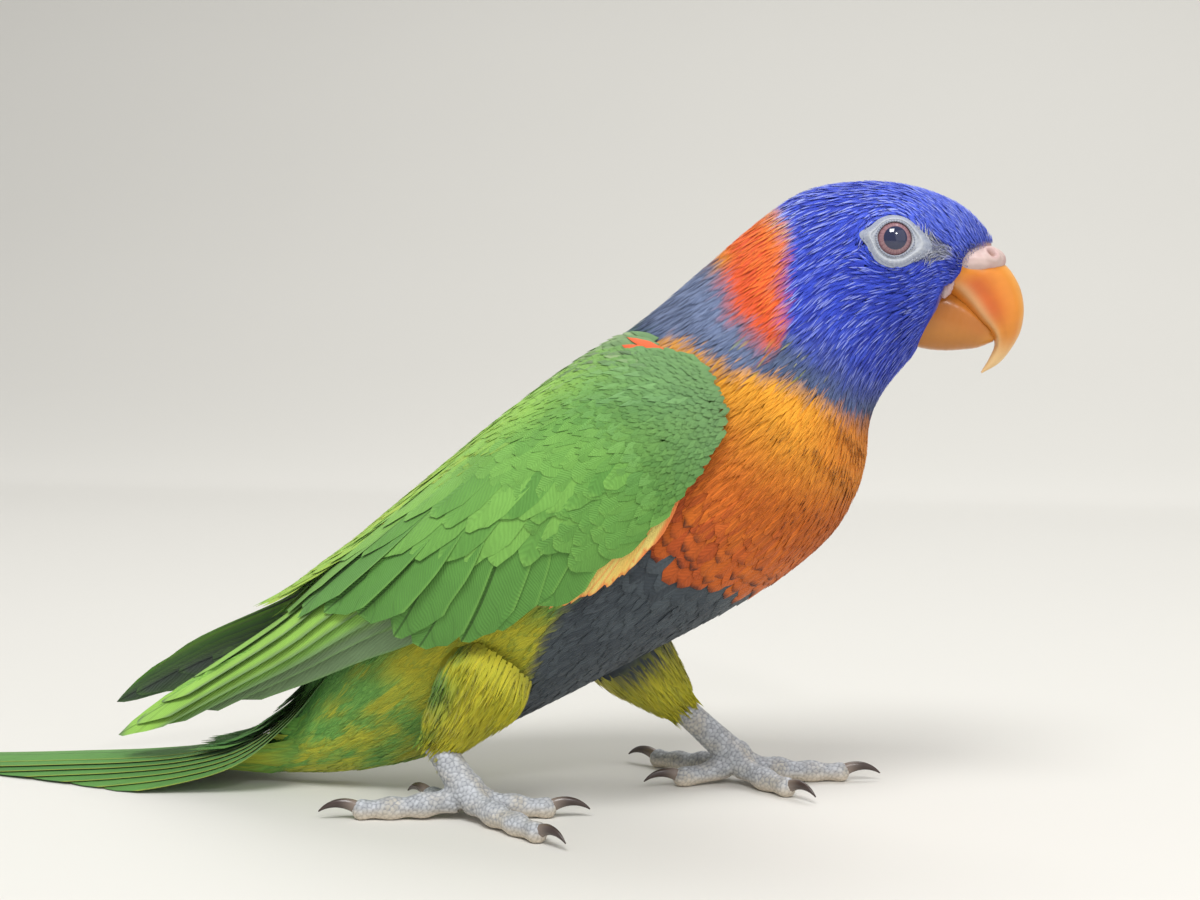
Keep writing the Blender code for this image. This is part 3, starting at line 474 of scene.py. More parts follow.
def shaderOf(name):
    material = bpy.data.materials.new(name)
    material.use_nodes = True
    return material, material.node_tree, material.node_tree.nodes["Principled BSDF"]


class Wires:
    # short ways to make and join shader nodes
    def __init__(self, tree):
        self.tree = tree

    def node(self, kind, **settings):
        made = self.tree.nodes.new(kind)
        for key, value in settings.items():
            setattr(made, key, value)
        return made

    def put(self, socket, value):
        if isinstance(value, bpy.types.NodeSocket):
            self.tree.links.new(value, socket)
        else:
            socket.default_value = value

    def maths(self, operation, *values):
        made = self.node("ShaderNodeMath", operation=operation)
        for socket, value in zip(made.inputs, values):
            self.put(socket, value)
        return made.outputs[0]

    def step(self, value, low, high):
        made = self.node("ShaderNodeMapRange", interpolation_type="SMOOTHSTEP")
        for label, entry in (("Value", value), ("From Min", low), ("From Max", high)):
            self.put(made.inputs[label], entry)
        return made.outputs["Result"]

    def blend(self, share, first, second, kind="MIX"):
        made = self.node("ShaderNodeMix", data_type="RGBA", blend_type=kind)
        self.put(made.inputs[0], share)
        for socket, entry in ((made.inputs[6], first), (made.inputs[7], second)):
            self.put(socket, (*entry, 1) if isinstance(entry, (tuple, list, np.ndarray)) else entry)
        return made.outputs[2]

    def attribute(self, name):
        return self.node("ShaderNodeAttribute", attribute_name=name).outputs["Color"]

    def noise(self, scale, detail=2.0, rough=0.5):
        place = self.node("ShaderNodeTexCoord").outputs["Object"]
        made = self.node("ShaderNodeTexNoise")
        self.put(made.inputs["Vector"], place)
        made.inputs["Scale"].default_value = scale
        made.inputs["Detail"].default_value = detail
        made.inputs["Roughness"].default_value = rough
        return made.outputs["Fac"]

    def cells(self, scale, feature="DISTANCE_TO_EDGE"):
        place = self.node("ShaderNodeTexCoord").outputs["Object"]
        made = self.node("ShaderNodeTexVoronoi", feature=feature)
        self.put(made.inputs["Vector"], place)
        made.inputs["Scale"].default_value = scale
        return made.outputs["Distance"]

    def bump(self, shader, height, distance, strength=1.0):
        made = self.node("ShaderNodeBump")
        made.inputs["Distance"].default_value = distance
        made.inputs["Strength"].default_value = strength
        self.put(made.inputs["Height"], height)
        self.put(shader.inputs["Normal"], made.outputs["Normal"])


def plumage(name, values):
    # a vane's own map runs 0 to 1 across it and from its root to its tip
    material, tree, shader = shaderOf(name)
    wires = Wires(tree)
    split = wires.node("ShaderNodeSeparateXYZ")
    wires.put(split.inputs[0], wires.node("ShaderNodeUVMap", uv_map="vane").outputs["UV"])
    across = wires.maths("ABSOLUTE", wires.maths("SUBTRACT", wires.maths("MULTIPLY", split.outputs[0], 2.0), 1.0))
    along = split.outputs[1]
    wander = wires.noise(values["wander"], 3.0)
    slant = wires.maths("MULTIPLY", across, -values["slant"])
    barb = wires.maths("ADD", wires.maths("MULTIPLY", along, values["barbs"]), wires.maths("ADD", slant, wires.maths("MULTIPLY", wander, 1.5)))
    wave = wires.maths("SINE", wires.maths("MULTIPLY", barb, 2 * math.pi))
    shade = wires.maths("ADD", 1.0, wires.maths("MULTIPLY", wave, values["barbShade"]))
    shade = wires.maths("MULTIPLY", shade, wires.maths("ADD", 1 - values["mottle"] / 2, wires.maths("MULTIPLY", wander, values["mottle"])))
    edge = wires.maths("MAXIMUM", wires.step(along, values["rimFrom"], 1.0), wires.maths("MULTIPLY", wires.step(across, values["rimSide"], 1.0), values["rimSideShare"]))
    colour = wires.blend(edge, wires.attribute("tint"), wires.attribute("rim"))
    shaft = wires.maths("SUBTRACT", 1.0, wires.step(across, values["shaft"] * 0.4, values["shaft"]))
    shaft = wires.maths("MULTIPLY", shaft, wires.maths("MULTIPLY", wires.step(along, values["shaftFrom"], values["shaftFrom"] + 0.2), values["shaftShare"]))
    streak = wires.node("ShaderNodeVectorMath", operation="MULTIPLY_ADD")
    wires.put(streak.inputs[0], wires.attribute(values["streak"]))
    streak.inputs[1].default_value = (values["shaftGain"],) * 3
    streak.inputs[2].default_value = values["shaftPale"]
    colour = wires.blend(shaft, colour, streak.outputs[0])
    split = wires.maths("SINE", wires.maths("MULTIPLY", barb, 2 * math.pi * values["splitRate"]))
    split = wires.maths("MULTIPLY", wires.step(split, 0.86, 0.99), wires.step(along, 0.62, 0.92))
    shade = wires.maths("MULTIPLY", shade, wires.maths("SUBTRACT", 1.0, wires.maths("MULTIPLY", split, values["splits"])))
    grey = wires.node("ShaderNodeCombineColor")
    for socket in grey.inputs[:3]:
        wires.put(socket, shade)
    wires.put(shader.inputs["Base Color"], wires.blend(1.0, colour, grey.outputs[0], "MULTIPLY"))
    shader.inputs["Roughness"].default_value = values["roughness"]
    shader.inputs["Specular IOR Level"].default_value = values["gloss"]
    shader.inputs["Sheen Weight"].default_value = values["sheen"]
    shader.inputs["Sheen Roughness"].default_value = 0.5
    wires.bump(shader, wires.maths("ADD", wave, wires.maths("MULTIPLY", shaft, 2.0)), values["relief"] * mm)
    return material


plumageValues = {
    "barbs": 2.0,
    "slant": 2.6,
    "barbShade": 0.10,
    "mottle": 0.3,
    "wander": 160.0,
    "rimFrom": 0.8,
    "rimSide": 0.8,
    "rimSideShare": 0.35,
    "shaft": 0.1,
    "shaftFrom": 0.2,
    "shaftShare": 0.25,
    "shaftGain": 0.8,
    "shaftPale": (0.0, 0.0, 0.0),
    "streak": "tint",
    "splits": 0.0,
    "splitRate": 0.23,
    "roughness": 0.65,
    "gloss": 0.2,
    "sheen": 0.1,
    "relief": 0.03,
}
streaks = {"shaft": 0.3, "shaftFrom": 0.35, "shaftShare": 0.8, "shaftGain": 1.0, "streak": "rim", "rimFrom": 0.98, "rimSideShare": 0.0}
coverts = {"barbs": 18.0, "slant": 4.0, "barbShade": 0.04, "rimFrom": 0.9, "splits": 0.12}
# fineLines: the dark line down each breast feather, at about half its colour, is painted shade, like the shade in the
# gaps between strands
fineLines = {"shaft": 0.34, "shaftFrom": 0.3, "shaftShare": 0.45, "shaftGain": 0.5, "rimFrom": 0.98, "rimSideShare": 0.0, "mottle": 0.2}
scallops = {"barbs": 9.0, "slant": 3.0, "barbShade": 0.05, "rimFrom": 0.8, "rimSide": 0.6, "rimSideShare": 0.85, "shaftShare": 0.35, "shaftGain": 0.6, "mottle": 0.2}
flights = {"barbs": 44.0, "slant": 8.0, "barbShade": 0.05, "rimFrom": 0.97, "rimSide": 0.88, "rimSideShare": 0.8, "shaft": 0.05, "shaftShare": 0.7, "shaftGain": 0.3}
headPlumage = plumage("head plumage", {**plumageValues, **streaks})
bodyPlumage = plumage("body plumage", plumageValues)
breastPlumage = plumage("breast plumage", {**plumageValues, **fineLines})
scallopPlumage = plumage("scallop plumage", {**plumageValues, **scallops})
wingPlumage = plumage("covert plumage", {**plumageValues, **coverts})
flightPlumage = plumage("flight plumage", {**plumageValues, **flights, "splits": 0.15, "splitRate": 0.11})


def flesh(name, roughness, relief, scale, gloss=0.4, sheen=0.0, veins=0.2):
    # bare skin, horn and the like: vertex colours with fine grain
    material, tree, shader = shaderOf(name)
    wires = Wires(tree)
    grain = wires.noise(scale, 4.0, 0.6)
    shade = wires.node("ShaderNodeCombineColor")
    tone = wires.maths("ADD", 1 - veins / 2, wires.maths("MULTIPLY", grain, veins))
    for socket in shade.inputs[:3]:
        wires.put(socket, tone)
    wires.put(shader.inputs["Base Color"], wires.blend(1.0, wires.attribute("tint"), shade.outputs[0], "MULTIPLY"))
    shader.inputs["Roughness"].default_value = roughness
    shader.inputs["Specular IOR Level"].default_value = gloss
    shader.inputs["Sheen Weight"].default_value = sheen
    wires.bump(shader, grain, relief * mm)
    return material


skinMaterial = flesh("skin", 0.8, 0.1, 600.0, gloss=0.2)
bareMaterial = flesh("bare skin", 0.55, 0.08, 900.0, veins=0.25)
cereMaterial = flesh("cere", 0.45, 0.04, 500.0, gloss=0.5, veins=0.15)
hornMaterial = flesh("bill horn", 0.28, 0.02, 220.0, gloss=0.5, veins=0.25)
clawMaterial = flesh("claw horn", 0.25, 0.02, 400.0, gloss=0.5, veins=0.4)


def finish(obj, *nodes):
    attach(obj, "root")
    if nodes:
        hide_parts(*nodes)
    return obj


def shellFaces(rows, around):
    # quads round a tube of rings, and triangles to a middle point at each end
    index = np.arange(rows * around).reshape(rows, around)
    turned = np.roll(index, -1, axis=1)
    quads = np.stack([index[:-1], turned[:-1], turned[1:], index[1:]], -1).reshape(-1, 4).tolist()
    first, last = rows * around, rows * around + 1
    for j in range(around):
        k = (j + 1) % around
        quads.append((int(index[0, k]), int(index[0, j]), first))
        quads.append((int(index[-1, j]), int(index[-1, k]), last))
    return quads


def solidFrom(name, points, faces, material, colours=None):
    mesh = bpy.data.meshes.new(name)
    mesh.from_pydata(toWorld(points).tolist(), [], faces)
    shape = bmesh.new()
    shape.from_mesh(mesh)
    bmesh.ops.recalc_face_normals(shape, faces=shape.faces)
    shape.to_mesh(mesh)
    shape.free()
    if colours is not None:
        tintVertices(mesh, colours)
    mesh.materials.append(material)
    mesh.shade_smooth()
    obj = bpy.data.objects.new(name, mesh)
    scene.collection.objects.link(obj)
    return obj


def tintVertices(mesh, colours):
    layer = mesh.color_attributes.get("tint") or mesh.color_attributes.new(name="tint", type="FLOAT_COLOR", domain="POINT")
    wide = np.ones((len(mesh.vertices), 4), np.float32)
    wide[:, :3] = colours
    layer.data.foreach_set("color", wide.ravel())


def tube(rings):
    # a closed tube's points and faces from an array of rings
    rings = np.asarray(rings)
    ends = np.stack([rings[0].mean(0), rings[-1].mean(0)])
    return np.concatenate([rings.reshape(-1, 3), ends]), shellFaces(rings.shape[0], rings.shape[1])


def joined(parts):
    # several closed shells as one list of points and faces
    points, faces, start = [], [], 0
    for corners, quads in parts:
        points.append(corners)
        faces += [tuple(int(i) + start for i in face) for face in quads]
        start += len(corners)
    return np.concatenate(points), faces


def settled(obj):
    # an object's modifiers made into its mesh
    made = bpy.data.meshes.new_from_object(obj.evaluated_get(bpy.context.evaluated_depsgraph_get()))
    obj.modifiers.clear()
    old = obj.data
    obj.data = made
    bpy.data.meshes.remove(old)
    return obj


def cornersOf(mesh):
    values = np.zeros(len(mesh.vertices) * 3, np.float32)
    mesh.vertices.foreach_get("co", values)
    return values.reshape(-1, 3).astype(float)


# Markings: angles down from the back in degrees, and the station at which each colour ends or begins there
markings = {
    "collarFront": ([0, 45, 70, 82, 88], [5.65, 5.45, 6.05, 6.4, 6.9]),
    "collarBack": ([0, 11, 40, 58, 80, 88], [6.8, 6.8, 6.8, 6.98, 6.88, 6.85]),
    "hoodEnd": ([0, 45, 82, 99, 127, 167, 180], [5.65, 5.45, 6.4, 6.3, 5.8, 4.7, 4.6]),
    "breastTop": ([40, 45, 58, 79, 96, 120, 166, 180], [8.0, 7.95, 7.8, 7.62, 7.08, 6.55, 5.4, 5.3]),
    "breastEnd": ([0, 100, 108, 131, 156, 180], [9.4, 9.8, 10.2, 10.4, 10.35, 10.2]),
    "bellyTop": ([10.0, 10.3, 11.5, 12.2, 13.0, 14.2], [100, 107, 111, 120, 138, 165]),
}
plumageColours = {
    "hood": paint(62, 86, 216),
    "hoodDeep": paint(42, 58, 176),
    "hoodPale": paint(168, 180, 242),
    "forehead": paint(90, 112, 230),
    "throat": paint(78, 90, 124),
    "slate": paint(122, 136, 170),
    "slateDeep": paint(76, 92, 126),
    "collar": paint(243, 96, 50),
    "collarYellow": paint(250, 190, 40),
    "breast": paint(244, 168, 48),
    "breastLow": paint(206, 106, 32),
    "breastRed": paint(168, 66, 34),
    # breastEdge: the dark tips of the lower breast feathers, partly their own colour and partly painted shadow
    "breastEdge": paint(66, 36, 30),
    "belly": paint(76, 84, 90),
    "bellyDeep": paint(60, 67, 74),
    "green": paint(90, 142, 64),
    "greenDeep": paint(70, 124, 60),
    "greenSoft": paint(120, 172, 80),
    "greenBlue": paint(130, 168, 126),
    "greenBright": paint(150, 198, 80),
    "mantlePale": paint(160, 182, 132),
    "mantleDark": paint(84, 104, 78),
    "yellow": paint(198, 188, 50),
    "olive": paint(160, 164, 48),
    "paleYellow": paint(232, 210, 120),
    "grey": paint(204, 206, 218),
    "lores": paint(170, 172, 192),
    "cream": paint(216, 206, 150),
    "darkGrey": paint(92, 98, 98),
}


def clumps(points, size):
    # smooth patches between 0 and 1, the same on every run
    x, y, z = np.moveaxis(points / size, -1, 0)
    wave = np.sin(x * 1.3 + 2.1 * np.sin(z * 0.9 + 1.0)) + np.sin(z * 1.7 + 1.6 * np.sin(y * 1.1 + x * 0.6)) + np.sin(y * 1.9 + x * 0.8 + 2.0)
    return np.clip(0.5 + wave / 4, 0, 1)


def mottled(points):
    # the broken yellow and green of flanks and thighs
    return 0.72 * clumps(points, 2.5) + 0.28 * clumps(points + 40, 0.9)


def bodyColours(station, turn, points):
    c = plumageColours
    count = len(station)
    angle = np.degrees(np.abs(np.angle(np.exp(1j * turn))))
    s = station + dice.normal(0, 0.05, count)
    line = {key: np.interp(angle, *markings[key]) for key in markings if key != "bellyTop"}
    tint = mixed(c["hood"], c["hoodDeep"], dice.uniform(0, 1, count))
    tint = mixed(tint, c["forehead"], 0.85 * (1 - ease(s, 2.0, 4.5)) * (1 - ease(angle, 55, 80)))
    throat = ease(s, line["hoodEnd"] - 1.6, line["hoodEnd"]) * ease(angle, 70, 120)
    tint = mixed(tint, c["throat"], throat * 0.75)
    pale = (dice.uniform(-0.5, 1.0, count) + 0.3 * (1 - ease(angle, 30, 75))) * (1 - 0.7 * throat) * (0.65 + 0.5 * clumps(points, 2.2))
    rim = mixed(tint, c["hoodPale"], np.maximum(pale, 0))
    slate = mixed(c["slate"], c["slateDeep"], np.clip(dice.uniform(0, 0.6, count) + 0.5 * ease(angle, 60, 100), 0, 1))
    share = ease(s, line["hoodEnd"] - 0.1, line["hoodEnd"] + 0.1)
    fleck = 0.6 * share * (dice.uniform(0, 1, count) < 0.06) * ease(angle, 60, 80) * (1 - ease(angle, 105, 120))
    tint, rim = mixed(tint, slate, share), mixed(rim, slate * 0.8, share)
    tint, rim = mixed(tint, c["olive"], fleck), mixed(rim, c["yellow"], fleck)
    collar = mixed(c["collar"], c["collar"] * 0.8, dice.uniform(0, 1, count))
    front = 1 - ease(s - line["collarFront"], 0.0, 0.4)
    rear = ease(s, line["collarBack"] - 0.4, line["collarBack"])
    gold = np.maximum(front * (1 - 0.85 * ease(angle, 35, 60)), rear * (1 - ease(angle, 20, 40)))
    collar = mixed(collar, c["collarYellow"], np.clip(gold * dice.uniform(0.3, 1.1, count), 0, 1))
    share = ease(s, line["collarFront"] - 0.07, line["collarFront"] + 0.07) * (1 - ease(s, line["collarBack"] - 0.07, line["collarBack"] + 0.07)) * (angle < 89)
    tint, rim = mixed(tint, collar, share), mixed(rim, mixed(collar, c["breast"], 0.3 * np.ones(count)), share)
    spread = ease(s, 7.95, 8.7)
    mantle = mixed(c["slateDeep"], mixed(c["green"], c["greenDeep"], dice.uniform(0, 1, count)), np.clip(spread * 1.3 - dice.uniform(0, 0.4, count), 0, 1))
    share = ease(s, 7.85, 8.15) * (angle < 70)
    tint, rim = mixed(tint, mantle, share), mixed(rim, mixed(mantle, c["greenBright"], 0.4 * spread), share)
    depth = np.clip((s - line["breastTop"]) / (line["breastEnd"] - line["breastTop"]), 0, 1)
    breast = mixed(c["breast"], c["breastLow"], np.maximum(ease(depth, 0.15, 0.7), 0.6 * ease(angle, 105, 145)))
    breast = mixed(breast, c["breastRed"], ease(depth + 0.15 * dice.uniform(-1, 1, count), 0.65, 1.0) * 0.7 * (1 - 0.6 * ease(angle, 120, 160)))
    breast = breast * dice.uniform(0.9, 1.06, count)[:, None]
    share = ease(s, line["breastTop"] - 0.02, line["breastTop"] + 0.03) * ease(angle, 41, 46)
    tint = mixed(tint, breast, share)
    # the breastEdge crescents at the lower breast's feather tips are partly the feathers' own dark tips and partly
    # painted shadow where each row overlaps the next
    rim = mixed(rim, mixed(breast, c["breastEdge"], np.clip(ease(depth, 0.5, 0.85) * dice.uniform(-0.1, 1.9, count), 0, 1)), share)
    flank = mixed(c["green"], c["greenSoft"], dice.uniform(-0.0, 0.7, count))
    yellow = mottled(points) + 0.2 * ease(s, 14, 16.5) + 0.15 * ease(angle, 100, 150) + dice.normal(0, 0.06, count)
    flank = mixed(flank, mixed(c["yellow"], c["olive"], dice.uniform(0.2, 1, count)), ease(yellow, 0.42, 0.86) * 0.85)
    patch = ease(s, 11.5, 12.0) * (1 - ease(s, 13.4, 14.2)) * ease(angle, 72, 84) * (1 - ease(angle, 130, 142))
    flank = mixed(flank, mixed(c["yellow"], c["olive"], dice.uniform(0.2, 1, count)), patch)
    back = 1 - ease(angle, 50, 75)
    flank = mixed(flank, mixed(c["green"], c["greenDeep"], dice.uniform(0, 1, count)), back)
    flankRim = mixed(flank, c["greenDeep"], 0.35 * np.ones(count))
    top = np.interp(s, *markings["bellyTop"])
    under = ease(angle, top - 2, top + 3) * (1 - ease(s, 14.0, 14.5))
    belly = mixed(c["belly"], c["bellyDeep"], dice.uniform(0, 1, count))
    flank, flankRim = mixed(flank, belly, under), mixed(flankRim, belly * 0.85, under)
    share = ease(s, line["breastEnd"] - 0.01, line["breastEnd"] + 0.01)
    tint, rim = mixed(tint, flank, share), mixed(rim, flankRim, share)
    lining = ease(s, 9.2, 9.5) * (1 - ease(s, 11.3, 11.8)) * ease(angle, 86, 92) * (1 - ease(angle, 104, 109))
    tint = mixed(tint, mixed(c["paleYellow"], c["breastLow"], ease(angle, 99, 107) * 0.8), lining * (1 - under))
    rim = mixed(rim, c["paleYellow"], lining * (1 - under))
    lores = loral(points)
    tint, rim = mixed(tint, c["lores"], lores * 0.8), mixed(rim, c["grey"], lores * 0.7)
    return tint, rim


lidForm = {"ring": 5.25, "lower": 0.45, "rear": 1.5, "front": 2.2}


def roundEye(points):
    # distance and direction from the nearer eye, in its own plane: 0 is backwards and 90 up
    near = np.where(points[:, 1] > 0, 1, -1)
    out = np.zeros((len(points), 2))
    for side in (-1, 1):
        centre, look, back, up = eyeFrame(side)
        mine = near == side
        gap = points[mine] - centre
        out[mine] = np.stack([gap @ back, gap @ up], -1)
    return np.hypot(out[:, 0], out[:, 1]), np.arctan2(out[:, 1], out[:, 0]), out


def lidReach(direction):
    rear = np.exp(-((np.angle(np.exp(1j * (direction - 0.13))) / 0.24) ** 2))
    front = np.exp(-((np.angle(np.exp(1j * (direction - math.pi - 0.2))) / 0.42) ** 2))
    return lidForm["ring"] - lidForm["lower"] * np.sin(direction) + lidForm["rear"] * rear + lidForm["front"] * front


def loral(points):
    # the pale wedge between the eye and the cere
    distance, direction, flat = roundEye(points)
    forward, above = -flat[:, 0], flat[:, 1] - 0.20 * flat[:, 0]
    half = np.interp(forward, [4, 8, 11, 13], [3.2, 2.3, 1.5, 0.7])
    return (1 - ease(np.abs(above) / half, 0.6, 1.15)) * ease(forward, 4, 5) * (1 - ease(forward, 10.5, 13.0)) * (np.abs(points[:, 1]) > 4)


faceEdge = {
    "z": [98.2, 101.6, 104.6, 107.4, 109.2, 110.0, 112.2, 114.5, 116.6, 118.2],
    "x": [99.1, 100.7, 102.3, 103.2, 104.0, 105.6, 107.4, 107.6, 108.8, 111.8],
    "within": 3.4,
}


def pastFace(points):
    # how far a point lies before the edge at which the face's feathers begin
    past = points[:, 0] - np.interp(points[:, 2], faceEdge["z"], faceEdge["x"])
    return np.where(points[:, 2] > faceEdge["z"][-1], -9.0, past)


def partRound(point, way, normal):
    # the coat parts round the bare ring of the eye, as a stream does round a stone
    side = np.where(point[:, 1:2] > 0, 1.0, -1.0)
    centre = eyeFrame(1)[0] * np.concatenate([np.ones_like(side), side, np.ones_like(side)], 1)
    gap = point - centre
    gap = gap - normal * (gap * normal).sum(1, keepdims=True)
    near = np.linalg.norm(gap, axis=1, keepdims=True)
    outward = gap / np.maximum(near, 1e-6)
    share = np.clip((6.2 / np.maximum(near, 1e-6)) ** 2, 0, 1) * (np.linalg.norm(point - centre, axis=1, keepdims=True) < 16)
    return unit(way + share * (way - 2 * (way * outward).sum(1, keepdims=True) * outward))


skinValues = {"under": 1.3, "faceUnder": 0.7, "rings": 130, "around": 96, "wingUnder": 1.0}


def wingArm(word):
    # the flesh of a closed wing, as a flat tube from shoulder to wrist inside its coverts
    surface = wingSurface(word)
    rings = []
    for distance in np.linspace(1, 74, 34):
        depth = np.interp(distance, [1, 6, 40, 74], [2.0, 6.0, 6.0, 1.2])
        turn = np.linspace(0, 2 * math.pi, 36, endpoint=False)
        across = 0.48 + 0.44 * np.cos(turn) * np.interp(distance, [1, 9, 74], [0.5, 1.0, 0.8])
        at = np.full(36, distance)
        alongA = surface(at + 0.5, across) - surface(at - 0.5, across)
        alongB = surface(at, across + 0.01) - surface(at, across - 0.01)
        normal = flowNormal(alongA, alongB, sides[word])
        rings.append(surface(at, across) - normal * (skinValues["wingUnder"] + depth * (0.5 - 0.5 * np.sin(turn)))[:, None])
    return tube(rings)


def makeSkin():
    stations = np.linspace(0, 17, skinValues["rings"])
    turns = np.linspace(-math.pi, math.pi, skinValues["around"], endpoint=False)
    under = np.interp(stations, [0, 3, 7], [skinValues["faceUnder"], skinValues["faceUnder"], skinValues["under"]])
    body = np.stack([bodyPoint(s, turns, -depth) for s, depth in zip(stations, under)])
    parts = [tube(body)]
    for word in sides:
        surface = thighSurface(word)
        shares = np.linspace(0, 1.02, 24)
        ring = np.linspace(0, 2 * math.pi, 32, endpoint=False)
        rows = []
        for share in shares:
            outer = surface(np.full(32, share), ring)
            middle = outer.mean(0)
            radius = np.linalg.norm(outer[0] - middle)
            rows.append(middle + (outer - middle) * max(radius - 1.0, 1.5) / radius)
        parts.append(tube(rows))
        parts.append(wingArm(word))
    skin = solidFrom("skin", *joined(parts), skinMaterial)
    remesh = skin.modifiers.new("one skin", "REMESH")
    remesh.mode = "VOXEL"
    remesh.voxel_size = 0.8 * mm
    soften = skin.modifiers.new("soften", "SMOOTH")
    soften.factor, soften.iterations = 0.5, 4
    settled(skin)
    corners = (cornersOf(skin.data) - shift) / mm
    for side in sides.values():
        centre, look, back, up = eyeFrame(side)
        gap = corners - centre
        depth, away = gap @ look, np.hypot(gap @ back, gap @ up)
        hollow = (1 - ease(away, 4.9, 5.8)) * (depth > -7)
        corners = corners - look * (np.maximum(depth + 3.2, 0) * hollow)[:, None]
        corners = corners + look * (0.35 * loral(corners) * (corners[:, 1] * side > 0))[:, None]
    sunk = np.maximum(np.abs(corners[:, 1]) - faceEdge["within"], 0) * ease(pastFace(corners), -0.5, 0.7)
    corners[:, 1] -= np.sign(corners[:, 1]) * sunk
    skin.data.vertices.foreach_set("co", toWorld(corners).astype(np.float32).ravel())
    station, turn, height = onBody(corners)
    tint = bodyColours(station, turn, corners)[0]
    legs = thighShare(corners)
    tint = mixed(tint, plumageColours["olive"], ease(legs, 0.2, 0.5))
    arm = ease(underWing(corners), -0.06, 0.0) * ease(height, -0.6, 0.2)
    # painted shade: the skin under the coat is darkened to about two thirds of the coat's colour, for the gaps between
    # feathers, and kept nearly full on the pale loral wedge
    tint = mixed(tint, plumageColours["green"], arm) * (0.68 + 0.3 * loral(corners))[:, None]
    tintVertices(skin.data, mixed(tint, cereForm["pink"] * 0.8, ease(pastFace(corners), -0.3, 0.3)))
    skin.data.shade_smooth()
    finish(skin, "head", "neck", "torso", "rump", "thigh_right", "thigh_left")
    print(f"skin: {len(skin.data.polygons)} faces")


def thighShare(points):
    # how far down a thigh a point lies, 0 on the body and 1 at the ankle
    found = np.zeros(len(points))
    for word in sides:
        hip, ankle = (np.array(legForm[word][key]) for key in ("hip", "ankle"))
        down = ankle - hip
        share = np.clip((points - hip) @ down / (down @ down), 0, 1.1)
        away = np.linalg.norm(points - hip - share[:, None] * down, axis=1)
        found = np.maximum(found, np.where(away < np.interp(share, legForm["thighAt"], legForm["thigh"]) + 1.0, share, 0))
    return found


# The small feathers of head and body, from the bill back. Lengths and widths run along the stations.
hairVane = {"rows": 5, "columns": 3, "point": 0.7, "power": 1.4, "waist": 0.6, "bow": 0.16, "keel": 0.1, "lift": (-0.5, 0.12), "ragged": 0.05}
fineVane = {"rows": 4, "columns": 3, "point": 0.75, "power": 1.3, "waist": 0.55, "bow": 0.22, "keel": 0.1, "lift": (-0.4, 0.18), "ragged": 0.06}
softVane = {"rows": 5, "columns": 5, "point": 0.5, "power": 1.6, "waist": 0.5, "bow": 0.2, "keel": 0.12, "lift": (-0.5, 0.15), "ragged": 0.09}
broadVane = {"rows": 6, "columns": 7, "point": 0.36, "power": 2.0, "waist": 0.5, "bow": 0.2, "keel": 0.12, "lift": (-0.6, 0.25), "ragged": 0.05}
coats = {
    "coatFace": {"stations": (0.02, 2.5), "spacing": 0.56, "length": (1.2, 3.4), "width": (0.6, 1.05), "vane": fineVane, "finish": headPlumage},
    "coatHood": {"stations": (2.5, 6.1), "spacing": 0.78, "length": (3.6, 6.2), "width": (1.05, 1.7), "vane": fineVane, "finish": headPlumage},
    "coatNeck": {"stations": (6.1, 7.3), "spacing": 0.82, "length": (5.4, 6.0), "width": (1.3, 1.7), "vane": fineVane, "finish": bodyPlumage},
    "coatBreast": {"stations": (7.3, 8.85), "spacing": 0.98, "length": (6.0, 8.0), "width": (1.3, 1.9), "vane": hairVane, "finish": breastPlumage},
    "coatMidBreast": {"stations": (8.8, 9.4), "spacing": 1.5, "length": (8.0, 9.0), "width": (2.4, 3.8), "vane": softVane, "finish": breastPlumage},
    "coatLowBreast": {"stations": (9.25, 10.5), "spacing": 2.5, "length": (9.5, 10.0), "width": (4.6, 6.2), "vane": broadVane, "finish": scallopPlumage, "crisp": True},
    "coatBelly": {"stations": (10.4, 13.0), "spacing": 1.25, "length": (9.0, 10.0), "width": (2.4, 2.8), "vane": softVane, "finish": bodyPlumage},
    "coatFlank": {"stations": (12.8, 15.2), "spacing": 1.2, "length": (9.0, 10.0), "width": (2.2, 2.4), "vane": hairVane, "finish": bodyPlumage},
    "coatRump": {"stations": (15.0, 16.9), "spacing": 1.3, "length": (10.0, 12.0), "width": (2.4, 2.8), "vane": softVane, "finish": bodyPlumage},
}


def coatColours(lines, spots):
    # the markings at even steps down each feather, with the same chances at each step
    state = dice.bit_generator.state
    steps = []
    for k in range(spots.shape[1]):
        dice.bit_generator.state = state
        back = max(k - 0.5, 0)
        low, part = int(back), back - int(back)
        spot = spots[:, low] * (1 - part) + spots[:, min(low + 1, k)] * part
        steps.append(bodyColours(spot[:, 0], spot[:, 1], lines[:, low] * (1 - part) + lines[:, min(low + 1, k)] * part))
    return np.stack([step[0] for step in steps], 1), np.stack([step[1] for step in steps], 1)


